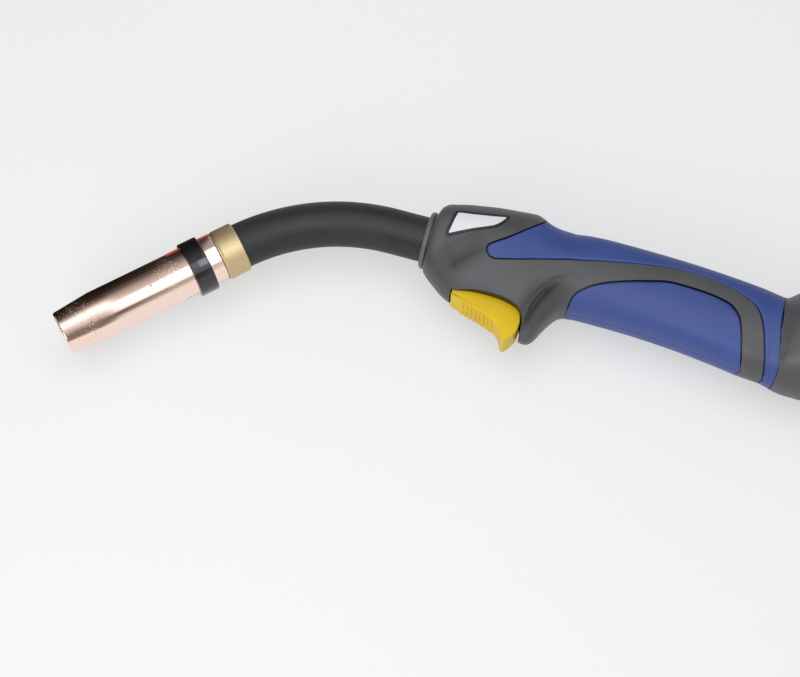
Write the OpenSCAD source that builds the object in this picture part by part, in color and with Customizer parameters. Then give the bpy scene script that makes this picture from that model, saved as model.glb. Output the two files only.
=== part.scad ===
// Water-cooled MIG welding torch: copper gas nozzle, bent neck, two-piece handle with soft grips,
// lever trigger on a small snap switch, and a ball swivel where the hose package enters.
// The torch lies on its right side: +X runs back along the handle, +Y to the back of the hand,
// +Z up to the left side. The origin is on the resting plane, under the middle of the torch.

/* [Nozzle] */
// Outside diameter of the nozzle barrel
nozzle_d = 24; // [22:0.5:28]
// Length of the nozzle
nozzle_len = 82; // [74:1:95]
// Outside diameter at the mouth
nozzle_tip_d = 20.7; // [19.6:0.1:21.5]
// Length of the conical front of the nozzle
nozzle_taper_len = 18.5; // [12:0.5:24]
// Bore of the mouth
mouth_d = 16; // [15:0.5:17]
// Wall of the nozzle at its slotted rear
nozzle_wall = 1.8; // [1.4:0.1:2.2]
// Number of spring slots in the rear of the nozzle
slot_count = 5; // [4:1:8]
// Length of the spring slots
slot_len = 23; // [16:1:28]
// Width of the spring slots
slot_w = 0.6; // [0.4:0.1:1.2]
// Width of the insulator's key, in its own wider slot
key_w = 1.2; // [0.8:0.1:2]
// Width of the black clamp ring
ring_w = 9.2; // [6:0.2:11]
// Thickness of the black clamp ring
ring_t = 1.7; // [1:0.1:2.5]
// Distance from the rear of the nozzle to the clamp ring
ring_setback = 6.2; // [3:0.2:8]

/* [Contact tip] */
// Diameter of the contact tip
tip_d = 10; // [8:0.5:10.5]
// Length of the contact tip with its thread
tip_len = 38; // [34:0.5:42]
// Diameter of the wire bore
wire_d = 1.3; // [1:0.1:2]
// How far the tip stays behind the mouth
tip_recess = 7; // [6.8:0.2:12]

/* [Neck] */
// Outside diameter of the rubber neck sleeve
neck_d = 22; // [20:0.5:24]
// Wall of the neck sleeve
neck_wall = 1.7; // [1.2:0.1:2]
// Radius of the bend, at the middle of the neck
bend_r = 96; // [80:1:120]
// Angle of the bend
neck_bend = 45.5; // [30:0.5:60]
// Straight neck in front of the handle
neck_lead = 14; // [8:1:40]
// Slope of the neck where it leaves the handle
neck_tilt = 3; // [0:0.5:5]
// Outside diameter of the brass ring between neck and nozzle
neck_ring_d = 24.7; // [24:0.1:28]
// Width of the brass ring
neck_ring_w = 11.4; // [8:0.2:14]
// Outside diameter of the conductor tube in the neck
conductor_d = 9; // [8:0.2:9.6]
// Outside diameter of each water tube
water_d = 3.6; // [3:0.1:3.8]

/* [Handle] */
// Wall of the handle shells, soft grip included
shell_wall = 3.2; // [2.8:0.1:3.8]
// Thickness of the soft grips
grip_t = 1.5; // [1:0.1:1.8]
// Width of the groove round each soft grip
groove_w = 0.7; // [0.4:0.1:1]
// Thickness of the blank rating plate
plate_t = 0.8; // [0.5:0.1:1.2]
// Shaft diameter of the handle screws
screw_d = 3.2; // [2.6:0.1:3.6]

/* [Trigger] */
// Width of the trigger
trigger_w = 15; // [12:0.5:15.6]
// Number of grip ribs on the trigger
rib_count = 8; // [4:1:10]
// Diameter of the trigger's hinge pin
pin_d = 3; // [2:0.1:3.4]
// Travel of the trigger in degrees
trigger_travel = 4; // [2:0.5:4]

/* [Swivel] */
// Diameter of the swivel ball
ball_d = 42; // [40:0.5:42.6]
// Diameter of the cable passage through the ball
cable_d = 20; // [16:0.5:21]
// Outside diameter of the spigot that the bend guard slides on
spigot_d = 25; // [24:0.5:26]
// How far the spigot reaches behind the centre of the ball
spigot_reach = 31; // [26:1:40]

/* [Hidden] */
$fn = 64;

// Colours
copper = [0.85, 0.55, 0.42];
brass = [0.78, 0.66, 0.36];
steel = [0.7, 0.71, 0.73];
dark_grey = [0.25, 0.25, 0.27];
black = [0.07, 0.07, 0.07];
blue = [0.2, 0.27, 0.58];
yellow = [0.88, 0.74, 0.12];

// Clearances, all radial
slide_gap = 0.1;     // parts that slide or turn on each other
seat_gap = 0.05;     // parts that are pushed together
body_gap = 0.3;      // parts that pass each other

// ---------------------------------------------------------------- placing
neck_y = -6.7;       // height of the neck axis at the front of the handle, below the handle axis

// Frame of the neck axis where it enters the handle: -X runs forward along the neck
module at_neck_entry() translate([0, neck_y, 0]) rotate([0, 0, neck_tilt]) children();

// Frame at the front end of the bend: -X runs forward along the nozzle
module at_nozzle()
    at_neck_entry() translate([-neck_lead, -bend_r, 0]) rotate([0, 0, neck_bend])
        translate([0, bend_r, 0]) children();

// A revolved piece on the nozzle axis, from points [radius, distance in front of the bend]
module on_nozzle(profile)
    at_nozzle() rotate([0, -90, 0]) rotate_extrude() polygon(profile);

// The same points for places on the nozzle axis, in the handle's frame
nozzle_dir = neck_tilt + neck_bend;
function neck_point(x) = [x * cos(neck_tilt), neck_y + x * sin(neck_tilt)];
function rotated(p, a) = [p[0] * cos(a) - p[1] * sin(a), p[0] * sin(a) + p[1] * cos(a)];
bend_centre = neck_point(-neck_lead) + rotated([0, -bend_r], neck_tilt);
bend_end = bend_centre + rotated([0, bend_r], nozzle_dir);
function nozzle_point(s, r) = bend_end + rotated([-s, r], nozzle_dir);

// Stations along the nozzle axis, counted forward from the bend
nozzle_rear = neck_ring_w + 0.2;
nozzle_front = nozzle_rear + nozzle_len;
tip_front = nozzle_front - tip_recess;
tip_rear = tip_front - tip_len;
nozzle_r = nozzle_d / 2;
sleeve_r = nozzle_r - nozzle_wall;              // bore of the nozzle's rear
insulator_r = sleeve_r - slide_gap;
insulator_front = nozzle_rear + slot_len + 2;
core_r = insulator_r - 2.1;                     // brass core under the insulator

// ---------------------------------------------------------------- handle form
// Cross-sections of the handle: x, top, bottom, half width, squareness
sections = [
    [5.8, 8.7, -21, 14, 2], [6.6, 11.2, -22.4, 14.8, 2.1], [8.5, 13, -24.2, 15.5, 2.2],
    [13, 14.6, -27.5, 16, 2.2], [18, 16.2, -30.9, 16.8, 2.2], [24, 17.6, -33.5, 17.3, 2.2],
    [32, 19.2, -34.6, 17.7, 2.3], [41, 20.6, -35.8, 17.9, 2.3], [50, 21.8, -38.2, 17.8, 2.3],
    [53, 21.2, -39.3, 17.7, 2.3], [57, 19.3, -40.8, 17.6, 2.3], [61, 18.3, -42.1, 17.5, 2.2],
    [64.6, 18, -42, 17.4, 2.2], [67.6, 18, -38.6, 17.3, 2.2], [71, 18.1, -30.8, 17.2, 2.2],
    [74.5, 18.4, -24.6, 17.1, 2.4], [79, 18.8, -21.6, 17.1, 2.6], [88, 19.5, -20.4, 17.3, 2.7],
    [110, 20.3, -19.5, 17.6, 2.7], [130, 20.4, -19.8, 17.8, 2.7], [148, 20, -21.2, 18, 2.6],
    [163, 19.1, -22.8, 18.3, 2.5], [171, 18.3, -23.4, 18.8, 2.3], [174, 18.4, -23.7, 19.4, 2.2],
    [176.5, 20.6, -24.2, 21, 2.1], [180, 23.8, -25, 23.6, 2], [185, 25.3, -25.2, 25.7, 2],
    [190, 25.6, -24.9, 26.4, 2], [196, 25.4, -24.7, 26.2, 2], [201, 24.8, -24.6, 25.2, 2],
    [204.5, 22, -22, 22.6, 2]];
section_steps = 12;    // points from the top of a section to its bottom, less one

// The height where every section is widest
widest_y = -1;

// One half of a cross-section, shrunk by inset and held above floor_y
function half_section(s, inset, floor_y) =
    let (top = s[1] - inset, low = max(s[2] + inset, floor_y), w = s[3] - inset, p = 2 / s[4])
    [for (i = [0 : section_steps])
        let (a = 90 - 180 * i / section_steps, h = a > 0 ? top - widest_y : widest_y - low)
        [s[0], widest_y + h * sign(a) * pow(abs(sin(a)), p),
            i == 0 || i == section_steps ? 0 : w * pow(cos(a), p)]];

// A smooth curve through the sections' numbers, by cubic segments
function slope(k, i, c) = let (a = max(i - 1, 0), b = min(i + 1, len(k) - 1))
    (k[b][c] - k[a][c]) / (k[b][0] - k[a][0]);
function between(k, i, t, c) =
    let (d = k[i + 1][0] - k[i][0], u = 1 - t)
    k[i][c] * u * u * (1 + 2 * t) + k[i + 1][c] * t * t * (1 + 2 * u)
    + d * t * u * (slope(k, i, c) * u - slope(k, i + 1, c) * t);
function refined(k, n) = concat(
    [for (i = [0 : len(k) - 2]) for (j = [0 : n - 1])
        [k[i][0] + (k[i + 1][0] - k[i][0]) * j / n,
            for (c = [1 : len(k[0]) - 1]) between(k, i, j / n, c)]],
    [k[len(k) - 1]]);

// A closed skin over rings that all have the same number of points. A band is a ring that runs out
// along one side and back along the other, so its ends close across.
module loft(rings, band = false) {
    n = len(rings[0]);
    m = len(rings);
    end = (m - 1) * n;
    polyhedron(
        points = [for (r = rings) for (p = r) p],
        faces = concat(
            [for (i = [0 : m - 2]) for (j = [0 : n - 1])
                each let (a = i * n + j, b = i * n + (j + 1) % n) [[a, b + n, b], [a, a + n, b + n]]],
            band
                ? [for (j = [0 : n / 2 - 2]) let (a = n - 1 - j, b = n - 2 - j) each [[a, j + 1, b],
                    [a, j, j + 1], [end + j, end + b, end + j + 1], [end + j, end + a, end + b]]]
                : [for (j = [1 : n - 2]) each [[0, j, j + 1], [end, end + j + 1, end + j]]]
        ));
}

// The left half of the handle, shrunk by inset
module half_form(inset = 0, floor_y = -100, n = 1)
    loft([for (s = refined(sections, n)) half_section(s, inset, floor_y)]);

// A number list for the section at any x along the handle
function span(x, i = 0) = i >= len(sections) - 2 || x < sections[i + 1][0] ? i : span(x, i + 1);
function section_at(x) =
    let (i = span(x), t = (x - sections[i][0]) / (sections[i + 1][0] - sections[i][0]))
    [x, for (c = [1 : 4]) between(sections, i, t, c)];

// A half section and its mirror image, as one closed ring
function both_sides(h) = concat(h, [for (i = [len(h) - 2 : -1 : 1]) [h[i][0], h[i][1], -h[i][2]]]);

// A hollow inside the shells from x = from to x = to
module chamber(from, to) {
    n = ceil((to - from) / chamber_step);
    loft([for (i = [0 : n])
        both_sides(half_section(section_at(from + (to - from) * i / n), shell_wall, chamber_floor))]);
}
chamber_step = 12;
chamber_floor = -24;

// ---------------------------------------------------------------- pieces of the handle's skin
// A point on the skin at angle a, 90 at the top and -90 at the bottom. The very top and bottom lie
// past the middle of the handle by over.
function skin(x, a, inset, over) =
    let (s = section_at(x), p = 2 / s[4], h = a > 0 ? s[1] - widest_y : widest_y - s[2])
    [x, widest_y + (h - inset) * sign(a) * pow(abs(sin(a)), p),
        abs(a) > 89.9 ? -over : (s[3] - inset) * pow(cos(a), p)];

// The angle of a place on the skin that is given in the side view
function skin_angle(q) =
    let (s = section_at(q[0]), d = q[1] - widest_y, h = d > 0 ? s[1] - widest_y : widest_y - s[2])
    sign(d) * asin(pow(min(abs(d) / h, 1), s[4] / 2));

// A clockwise outline with every point moved inwards
function moved_in(p, d) = [for (i = [0 : len(p) - 1])
    let (v = p[(i + 1) % len(p)] - p[(i + len(p) - 1) % len(p)]) p[i] + d / norm(v) * [v[1], -v[0]]];

// A piece of skin between an upper and a lower edge, each a row of points from front to rear
patch_steps = 10;
mid_top = 99;                   // heights that stand for the middle line, above and below
mid_low = -99;
module patch(edges, groove, outer, inner, over = 0) {
    n = len(edges[0]);
    q = moved_in(concat(edges[0], [for (i = [n - 1 : -1 : 0]) edges[1][i]]), groove);
    loft([for (i = [0 : n - 1]) let (a = q[i], b = q[2 * n - 1 - i],
            start = skin_angle(a), turn = skin_angle(b) - start)
        [for (side = [0, 1]) for (j = [0 : patch_steps])
            let (t = side == 0 ? j / patch_steps : 1 - j / patch_steps)
            skin(a[0] + (b[0] - a[0]) * t, start + turn * t, side == 0 ? outer : inner, over)]],
        band = true);
}

// Upper grip: from its nose behind the head to the swivel housing
upper_grip = [
    [[33.1, -9.2], [33.8, -6.8], [36.3, -4.3], [40.3, -1.1], [44.3, 2.7], [48.6, 7.3],
        [50.5, 9.4], [52.3, 11.7], [53.6, 13.5], [54.4, 14.9], [54.9, 16.3], [55.4, 17.7],
        [55.9, 18.8], [56.3, 19.3], [57.4, mid_top], [59.4, mid_top], [62, mid_top],
        [66, mid_top], [80, mid_top], [96, mid_top], [112, mid_top], [124, mid_top],
        [134, mid_top], [144, mid_top], [150, mid_top], [155, mid_top], [158.6, mid_top],
        [161.4, mid_top], [163.6, mid_top], [165.4, mid_top], [166.8, mid_top], [168, mid_top],
        [169, mid_top], [170, mid_top], [172.6, mid_top]],
    [[33.9, -11.3], [35.5, -13], [38.8, -13.6], [45.3, -11.7], [51.3, -9.7], [56.2, -7.9],
        [58.7, -7], [61.2, -6.2], [62.4, -5.7], [63.7, -5.3], [65, -4.8], [66.2, -4.4],
        [68.7, -3.5], [69.9, -3.1], [71.1, -2.7], [73.3, -2], [75.9, -1.4], [79.2, -0.3],
        [90.2, 2.8], [102.3, 6.1], [114.1, 8.8], [124.1, 10.4], [133.2, 10.7], [142.1, 9.8],
        [149.2, 8.2], [155.1, 6], [159.5, 3.5], [162.6, -0.2], [164.9, -5], [166.5, -8.9],
        [167.8, -12.8], [170.1, -18.2], [171.5, -21.2], [173.3, mid_low], [178.6, mid_low]]];
// Lower grip: a shield over the palm side
lower_grip = [
    [[77.8, -20], [79, -16.6], [83.6, -12], [91.1, -7.5], [100.3, -3.6], [110, -0.1],
        [118.9, 2.5], [128.9, 3], [139.9, 2.6], [148.9, 0.7], [153.7, -3.3], [155.6, -6.4],
        [157, -10], [158.2, -13.2], [159.3, -16.5], [161.3, -21]],
    [[77.6, mid_low], [80, mid_low], [85, mid_low], [92, mid_low], [101, mid_low],
        [110, mid_low], [119, mid_low], [129, mid_low], [139, mid_low], [147, mid_low],
        [152, mid_low], [154, mid_low], [156, mid_low], [158, mid_low], [160, mid_low],
        [162.8, mid_low]]];
// Rating plate on the left side of the head
plate = [
    [[13.4, 4.6], [14.8, 6.2], [20.2, 7.1], [25.5, 8.2], [30.3, 9.2], [34.5, 10.3],
        [36.7, 10.9], [38.2, 10.9]],
    [[12.5, -6.9], [14.1, -8.4], [19.8, -5.5], [25, -2.6], [30.3, 0.1], [34.1, 2.3],
        [36.8, 5.4], [38.7, 9.2]]];
plate_gap = 0.2;

// A soft grip, with a groove round it
module grip(edges) color(blue) patch(edges, groove_w, 0, grip_t - seat_gap * 4);

// Lower edge of the shells over the trigger, closed below it
hook_x = 60.4;                  // front of the finger guard behind the trigger
trigger_opening = concat([[23.3, -60]],
    smooth([[23.3, -31.4], [29.7, -29.6], [36.3, -28.5], [46.6, -28.3], [53.9, -29.7],
        [57.8, -32.2], [hook_x - 0.6, -36], [hook_x, -41.6]]), [[hook_x, -60]]);

// A smooth line through points
function curve_point(p, i, t) =
    let (a = p[max(i - 1, 0)], b = p[i], c = p[i + 1], d = p[min(i + 2, len(p) - 1)])
    0.5 * (2 * b + (c - a) * t + (2 * a - 5 * b + 4 * c - d) * t * t
        + (3 * b - a - 3 * c + d) * t * t * t);
function smooth(p, n = 3) =
    concat([for (i = [0 : len(p) - 2]) for (j = [0 : n - 1]) curve_point(p, i, j / n)],
        [p[len(p) - 1]]);

// ---------------------------------------------------------------- places inside the handle
rear_rib_x = [60, 79];          // two ribs that carry the connector block
rib_w = 3;
block_from = 60;                // connector block, along the neck axis
block_len = 22;
block_r = 10;
water_z = water_d / 2 + conductor_d / 2 + 0.3;
sleeve_end = 18;                // rear end of the rubber sleeve inside the head
tube_end = block_from + 6;
chamber_front = 21;
chamber_rear = 176;
screw_places = [[16, -20.5], [40, 14.5], [69, -21], [164, -15.5]];
screw_seat = 9.5;               // plane under the screw heads, right of the middle
screw_reach = 8;                // tip of the screws, left of the middle
screw_head_r = screw_d;
screw_head_h = 2.4;
boss_r = screw_d / 2 + 2;

trigger_pivot = [28, -24.5];
trigger_top = -22.6;
slot_half = trigger_w / 2 + 0.4;

switch_x = [32.5, 50.5];
switch_y = [-19.6, -11.4];
switch_z = 3.2;
peg_places = [[37, -15.5], [46.5, -15.5]];
peg_r = 1.1;
plunger_x = 44;
plunger_r = 1.2;
plunger_in = 1.5;               // plunger inside the switch at rest
terminal_x = [36, 47];
terminal_h = 1.6;
lead_r = 0.9;
lead_y = switch_y[1] + 0.9;
lead_z = 9.5;
plug_x = 92;

spring_x = 55;
ledge_y = [-16, -13.6];
ledge_x = [51.6, 58.6];

swivel_x = 191.5;
ball_r = ball_d / 2;
seat_r = ball_r + 2.3;
seat_w = 18.4;
ball_front = -12;               // flat front of the ball, from its centre
spigot_r = spigot_d / 2;
swivel_tilt = 15;
housing_rear = sections[len(sections) - 1][0];
throat_r = spigot_r / cos(swivel_tilt) + (housing_rear - swivel_x) * tan(swivel_tilt) + 0.5;

// ---------------------------------------------------------------- nozzle and its clamp ring
module nozzle() color(copper) difference() {
    on_nozzle([[sleeve_r, nozzle_rear], [nozzle_r, nozzle_rear],
        [nozzle_r, nozzle_front - nozzle_taper_len], [nozzle_tip_d / 2, nozzle_front - 0.4],
        [nozzle_tip_d / 2 - 0.4, nozzle_front], [mouth_d / 2, nozzle_front],
        [mouth_d / 2, nozzle_front - nozzle_taper_len - 4],
        [sleeve_r, nozzle_front - nozzle_taper_len - 10]]);
    for (i = [0 : slot_count - 1]) {
        w = i == 0 ? key_w + 2 * slide_gap : slot_w;
        at_nozzle() rotate([first_slot + i * 360 / slot_count, 0, 0]) {
            translate([-nozzle_rear - slot_len, -w / 2, 1]) cube([slot_len + 1, w, nozzle_r + 1]);
            translate([-nozzle_rear - slot_len, 0, 1]) cylinder(r = max(slot_w, w / 2), h = nozzle_r + 1);
        }
    }
}
first_slot = -48;               // angle of the key's slot, from the left side towards the back
key_proud = 0.4;                // the key stands this far out of its slot

ring_from = nozzle_rear + ring_setback;
module nozzle_clamp_ring() color(black) difference() {
    on_nozzle([[nozzle_r + seat_gap, ring_from], [nozzle_r + ring_t - 0.3, ring_from],
        [nozzle_r + ring_t, ring_from + 0.3], [nozzle_r + ring_t, ring_from + ring_w - 0.3],
        [nozzle_r + ring_t - 0.3, ring_from + ring_w], [nozzle_r + seat_gap, ring_from + ring_w]]);
    // Notch that passes over the insulator's key
    at_nozzle() rotate([first_slot, 0, 0])
        translate([-ring_from - ring_w - 1, -key_w / 2 - body_gap, 1])
        cube([ring_w + 2, key_w + 2 * body_gap, nozzle_r - 1 + key_proud + body_gap]);
}

// ---------------------------------------------------------------- tip, tip holder and diffuser
thread_len = 10;
thread_r = tip_d / 2 - 1;
holder_r = 6.5;
holder_front = tip_rear + thread_len;
spigot_thread_r = 5;
tip_gap = 4;                    // web of the holder between the tip and the neck's spigot
spigot_front = tip_rear - tip_gap;
core_front = insulator_front - 2;
diffuser_front = core_front + 10;
hex_len = 6;
hex_setback = (holder_front - diffuser_front - hex_len) / 4;

module contact_tip() color(copper) difference() {
    on_nozzle([[wire_d / 2, tip_rear], [thread_r, tip_rear], [thread_r, holder_front],
        [tip_d / 2, holder_front], [tip_d / 2, tip_front - 8], [tip_d / 2 - 1.6, tip_front - 0.5],
        [tip_d / 2 - 2.1, tip_front], [wire_d / 2, tip_front]]);
    // Two flats for a spanner
    for (side = [-1, 1]) at_nozzle()
        translate([-holder_front - 9, side * (tip_d / 2 + 4.4) - 5, -10]) cube([6, 10, 20]);
}

module tip_holder() color(brass) {
    // Hexagon for a spanner, with a round nose
    at_nozzle() translate([-holder_front, 0, 0]) rotate([0, 90, 0]) difference() {
        union() {
            cylinder(r = holder_r, h = holder_front - core_front);
            translate([0, 0, hex_setback]) cylinder(r = holder_r + 1, h = hex_len, $fn = 6);
        }
        translate([0, 0, -1]) cylinder(r = thread_r + seat_gap, h = thread_len + 1.3);
        cylinder(r = wire_d + 1, h = holder_front);
        translate([0, 0, holder_front - spigot_front])
            cylinder(r = spigot_thread_r + seat_gap, h = spigot_front - core_front + 1);
    }
}

diffuser_r = insulator_r - 0.5;
gas_holes_at = (insulator_front + diffuser_front) / 2;
module gas_diffuser() color([0.9, 0.88, 0.82]) difference() {
    on_nozzle([[holder_r + seat_gap, core_front], [core_r, core_front], [core_r, insulator_front],
        [diffuser_r, insulator_front], [diffuser_r, diffuser_front - 1],
        [diffuser_r - 1, diffuser_front], [holder_r + seat_gap, diffuser_front]]);
    for (i = [0 : 7]) at_nozzle() translate([-gas_holes_at, 0, 0]) rotate([i * 45, 0, 0])
        cylinder(r = 0.9, h = nozzle_r);
}

module nozzle_insulator() color([0.75, 0.12, 0.1]) {
    on_nozzle([[core_r + seat_gap, neck_ring_w], [insulator_r, neck_ring_w],
        [insulator_r, insulator_front - 0.4], [insulator_r - 0.4, insulator_front],
        [core_r + seat_gap, insulator_front]]);
    // Key that keeps the nozzle from turning
    at_nozzle() rotate([first_slot, 0, 0])
        translate([-nozzle_rear - slot_len + body_gap, -key_w / 2, insulator_r - 0.5])
        cube([slot_len - body_gap, key_w, nozzle_r + key_proud - insulator_r + 0.5]);
}

// ---------------------------------------------------------------- neck
neck_r = neck_d / 2;
sleeve_bore = neck_r - neck_wall;
head_r = sleeve_bore - seat_gap;
socket = 8;                     // how deep the tubes go into the brass at each end

// A tube along the neck: out and in are radii, side is its distance from the middle. The straight
// ends run a little way into the bend, just inside its surfaces.
lap = 1;
skim = 0.02;
module neck_tube(out, in, side, front, rear) {
    module straight(from, length) translate([from, 0, side]) rotate([0, 90, 0])
        linear_extrude(length) difference() { circle(out - skim); circle(in + skim); }
    if (front > 0) at_nozzle() straight(-front, front + lap);
    at_neck_entry() {
        translate([-neck_lead, -bend_r, 0]) rotate([0, 0, 90])
            rotate_extrude(angle = neck_bend, $fn = 160) translate([bend_r, side])
            difference() { circle(out); circle(in); }
        straight(-neck_lead - lap, neck_lead + lap + rear);
    }
}

module neck_head() color(brass) difference() {
    on_nozzle([[wire_d + 1, 0], [head_r, 0], [head_r, neck_ring_w], [core_r, neck_ring_w],
        [core_r, core_front], [spigot_thread_r, core_front],
        [spigot_thread_r, spigot_front], [wire_d + 1, spigot_front]]);
    at_nozzle() translate([-socket, 0, 0]) rotate([0, 90, 0]) {
        cylinder(r = conductor_d / 2 + seat_gap, h = socket + 1);
        for (side = [-1, 1]) translate([side * water_z, 0, 0])
            cylinder(r = water_d / 2 + seat_gap, h = socket + 1);
    }
    // Gallery where the water turns round
    on_nozzle([[water_z - 1, socket - 1], [water_z + 1, socket - 1], [water_z + 1, socket + 1],
        [water_z - 1, socket + 1]]);
}

module neck_ring() color(brass)
    on_nozzle([[head_r + seat_gap, 0], [neck_ring_d / 2 - 0.3, 0], [neck_ring_d / 2, 0.3],
        [neck_ring_d / 2, neck_ring_w - 0.8], [neck_ring_d / 2 - 0.8, neck_ring_w],
        [head_r + seat_gap, neck_ring_w]]);

module neck_sleeve() color(black) neck_tube(neck_r, sleeve_bore, 0, 0, sleeve_end);
module conductor_tube() color(copper)
    neck_tube(conductor_d / 2, conductor_d / 2 - 1.6, 0, socket - 0.2, tube_end);
module water_feed_tube() color(copper)
    neck_tube(water_d / 2, water_d / 2 - 0.6, water_z, socket - 1.2, tube_end);
module water_return_tube() color(copper)
    neck_tube(water_d / 2, water_d / 2 - 0.6, -water_z, socket - 1.2, tube_end);
module wire_liner() color(steel)
    neck_tube(wire_d + 0.8, wire_d - 0.1, 0, tip_rear - 0.5, block_from + block_len + 12);

collar_r = neck_r + 3;
collar_spigot_r = neck_r + 1.2;
collar_from = 2.4;              // front and rear of the collar, behind the front of the handle
collar_len = 4.9;
module neck_collar() color(dark_grey)
    at_neck_entry() rotate([0, 90, 0]) rotate_extrude()
        polygon([[neck_r + seat_gap, collar_from], [collar_r - 1.4, collar_from],
            [collar_r - 0.4, collar_from + 0.4], [collar_r, collar_from + 1],
            [collar_r, collar_len - 0.4], [collar_r - 0.4, collar_len],
            [collar_spigot_r, collar_len], [collar_spigot_r, 13], [neck_r + seat_gap, 13]]);

// ---------------------------------------------------------------- handle shells
// Frame on the neck axis inside the handle, with Z along the axis
module on_neck(x) at_neck_entry() translate([x, 0, 0]) rotate([0, 90, 0]) children();
// Frame at the centre of the swivel, with Z along the handle
module at_swivel() translate([swivel_x, 0, 0]) rotate([0, 90, 0]) children();

// What both shells give way to
module shell_bores() {
    on_neck(-5) cylinder(r = collar_spigot_r + seat_gap, h = 18.2);
    on_neck(12) cylinder(r = neck_r + seat_gap, h = sleeve_end - 12 + body_gap);
    on_neck(sleeve_end - 1) cylinder(r = water_z + water_d / 2 + body_gap, h = 6);
    on_neck(block_from - 2) cylinder(r = block_r + slide_gap, h = block_len + 4);
    for (side = [-1, 1]) translate([block_from - 2, lead_y, side * lead_z]) rotate([0, 90, 0])
        cylinder(r = lead_r + body_gap, h = block_len + 4);
    translate([trigger_pivot[0], trigger_pivot[1], 0])
        cylinder(r = pin_d / 2 + seat_gap, h = 2 * (pin_reach + slide_gap), center = true);
    // Seats of the ball, its throat and the hollow in front of it
    at_swivel() {
        translate([0, 0, -seat_w / 2 - slide_gap])
            cylinder(r = seat_r + slide_gap, h = seat_w + 2 * slide_gap);
        cylinder(r = throat_r, h = 40);
        sphere(r = ball_r + body_gap, $fn = 96);
    }
    // Room for the trigger, and its opening under the head
    linear_extrude(2 * slot_half, center = true)
        polygon([[trigger_opening[0][0], -60], [trigger_opening[0][0], trigger_top + 2.4],
            [hook_x, trigger_top + 2.4], [hook_x, -60]]);
    linear_extrude(60, center = true) polygon(trigger_opening);
}
pin_reach = 10.2;               // the hinge pin ends this far from the middle

module shell_half() difference() {
    half_form();
    // The hollow, round the screw bosses, the switch bosses and the ledge over the trigger spring
    difference() {
        union() {
            chamber(chamber_front, rear_rib_x[0]);
            chamber(rear_rib_x[0] + rib_w, rear_rib_x[1]);
            chamber(rear_rib_x[1] + rib_w, chamber_rear);
        }
        for (p = screw_places) translate([p[0], p[1], -30]) cylinder(r = boss_r, h = 60);
        for (p = peg_places) translate([p[0], p[1], switch_z + body_gap]) cylinder(r = 2.4, h = 30);
        translate([ledge_x[0], ledge_y[0], -30])
            cube([ledge_x[1] - ledge_x[0], ledge_y[1] - ledge_y[0], 60]);
    }
    // Pockets of the soft grips
    patch(upper_grip, 0, -1.5, grip_t, over = 1);
    patch(lower_grip, 0, -1.5, grip_t, over = 1);
    shell_bores();
}

module handle_left() color(dark_grey) {
    difference() {
        shell_half();
        for (p = screw_places) translate([p[0], p[1], -1])
            cylinder(r = screw_d / 2 + seat_gap, h = screw_reach + 2);
        patch(plate, -plate_gap, -1.5, plate_t + seat_gap);
    }
    // Pegs that the switch hangs on
    for (p = peg_places) translate([p[0], p[1], -switch_z]) cylinder(r = peg_r, h = 10);
}

module handle_right() color(dark_grey) mirror([0, 0, 1]) difference() {
    shell_half();
    for (p = screw_places) translate([p[0], p[1], -1]) {
        cylinder(r = screw_d / 2 + body_gap, h = screw_seat + 2);
        translate([0, 0, screw_seat + 1]) cylinder(r = screw_head_r + body_gap, h = 30);
    }
}

module upper_grip_left() grip(upper_grip);
module lower_grip_left() grip(lower_grip);
module upper_grip_right() mirror([0, 0, 1]) grip(upper_grip);
module lower_grip_right() mirror([0, 0, 1]) grip(lower_grip);

module rating_plate() color([0.9, 0.9, 0.9]) patch(plate, 0, 0, plate_t);

module handle_screws() color(steel)
    for (p = screw_places) translate([p[0], p[1], 0]) {
        translate([0, 0, -screw_seat]) cylinder(r = screw_d / 2, h = screw_seat + screw_reach);
        difference() {
            translate([0, 0, -screw_seat - screw_head_h]) cylinder(r = screw_head_r, h = screw_head_h);
            translate([0, 0, -screw_seat - screw_head_h - 1])
                cylinder(r = screw_head_r * 0.5, h = 2.4, $fn = 6);
        }
    }

// ---------------------------------------------------------------- trigger and switch
// Side of the trigger: ribbed front face, lip, rear, and the part inside the shells
trigger_face = [[24, -32.8], [31, -35], [38.8, -36.8], [46.5, -39.1]];
trigger_side = concat(trigger_face,
    smooth([[46.5, -39.1], [50, -41.4], [52.2, -44.4], [53.6, -46.9], [55, -47.2], [57, -44.6],
        [58.8, -40.8], [59.1, -36.5], [58.3, -33], [56.8, -30]], 2),
    [[56.4, trigger_top], [33, trigger_top], [31, -21.4], [28, -20.6], [25.2, -21.6], [24, -24.4]]);
rib_r = 0.7;
rib_inset = 1.4;                // the ribs end this far inside the trigger's sides
module trigger() color(yellow) difference() {
    union() {
        linear_extrude(trigger_w, center = true) polygon(trigger_side);
        // Ribs across the face
        for (i = [0 : rib_count - 1])
            let (s = 1 + 2 * i / rib_count, p = curve_point(trigger_face, floor(s), s - floor(s)))
            translate([p[0], p[1] + 0.25, 0])
            cylinder(r = rib_r, h = trigger_w - 2 * rib_inset, center = true);
    }
    translate([trigger_pivot[0], trigger_pivot[1], 0])
        cylinder(r = pin_d / 2 + seat_gap, h = trigger_w + 2, center = true);
}

module trigger_pin() color(steel) translate([trigger_pivot[0], trigger_pivot[1], 0])
    cylinder(r = pin_d / 2, h = 2 * pin_reach, center = true);

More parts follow.
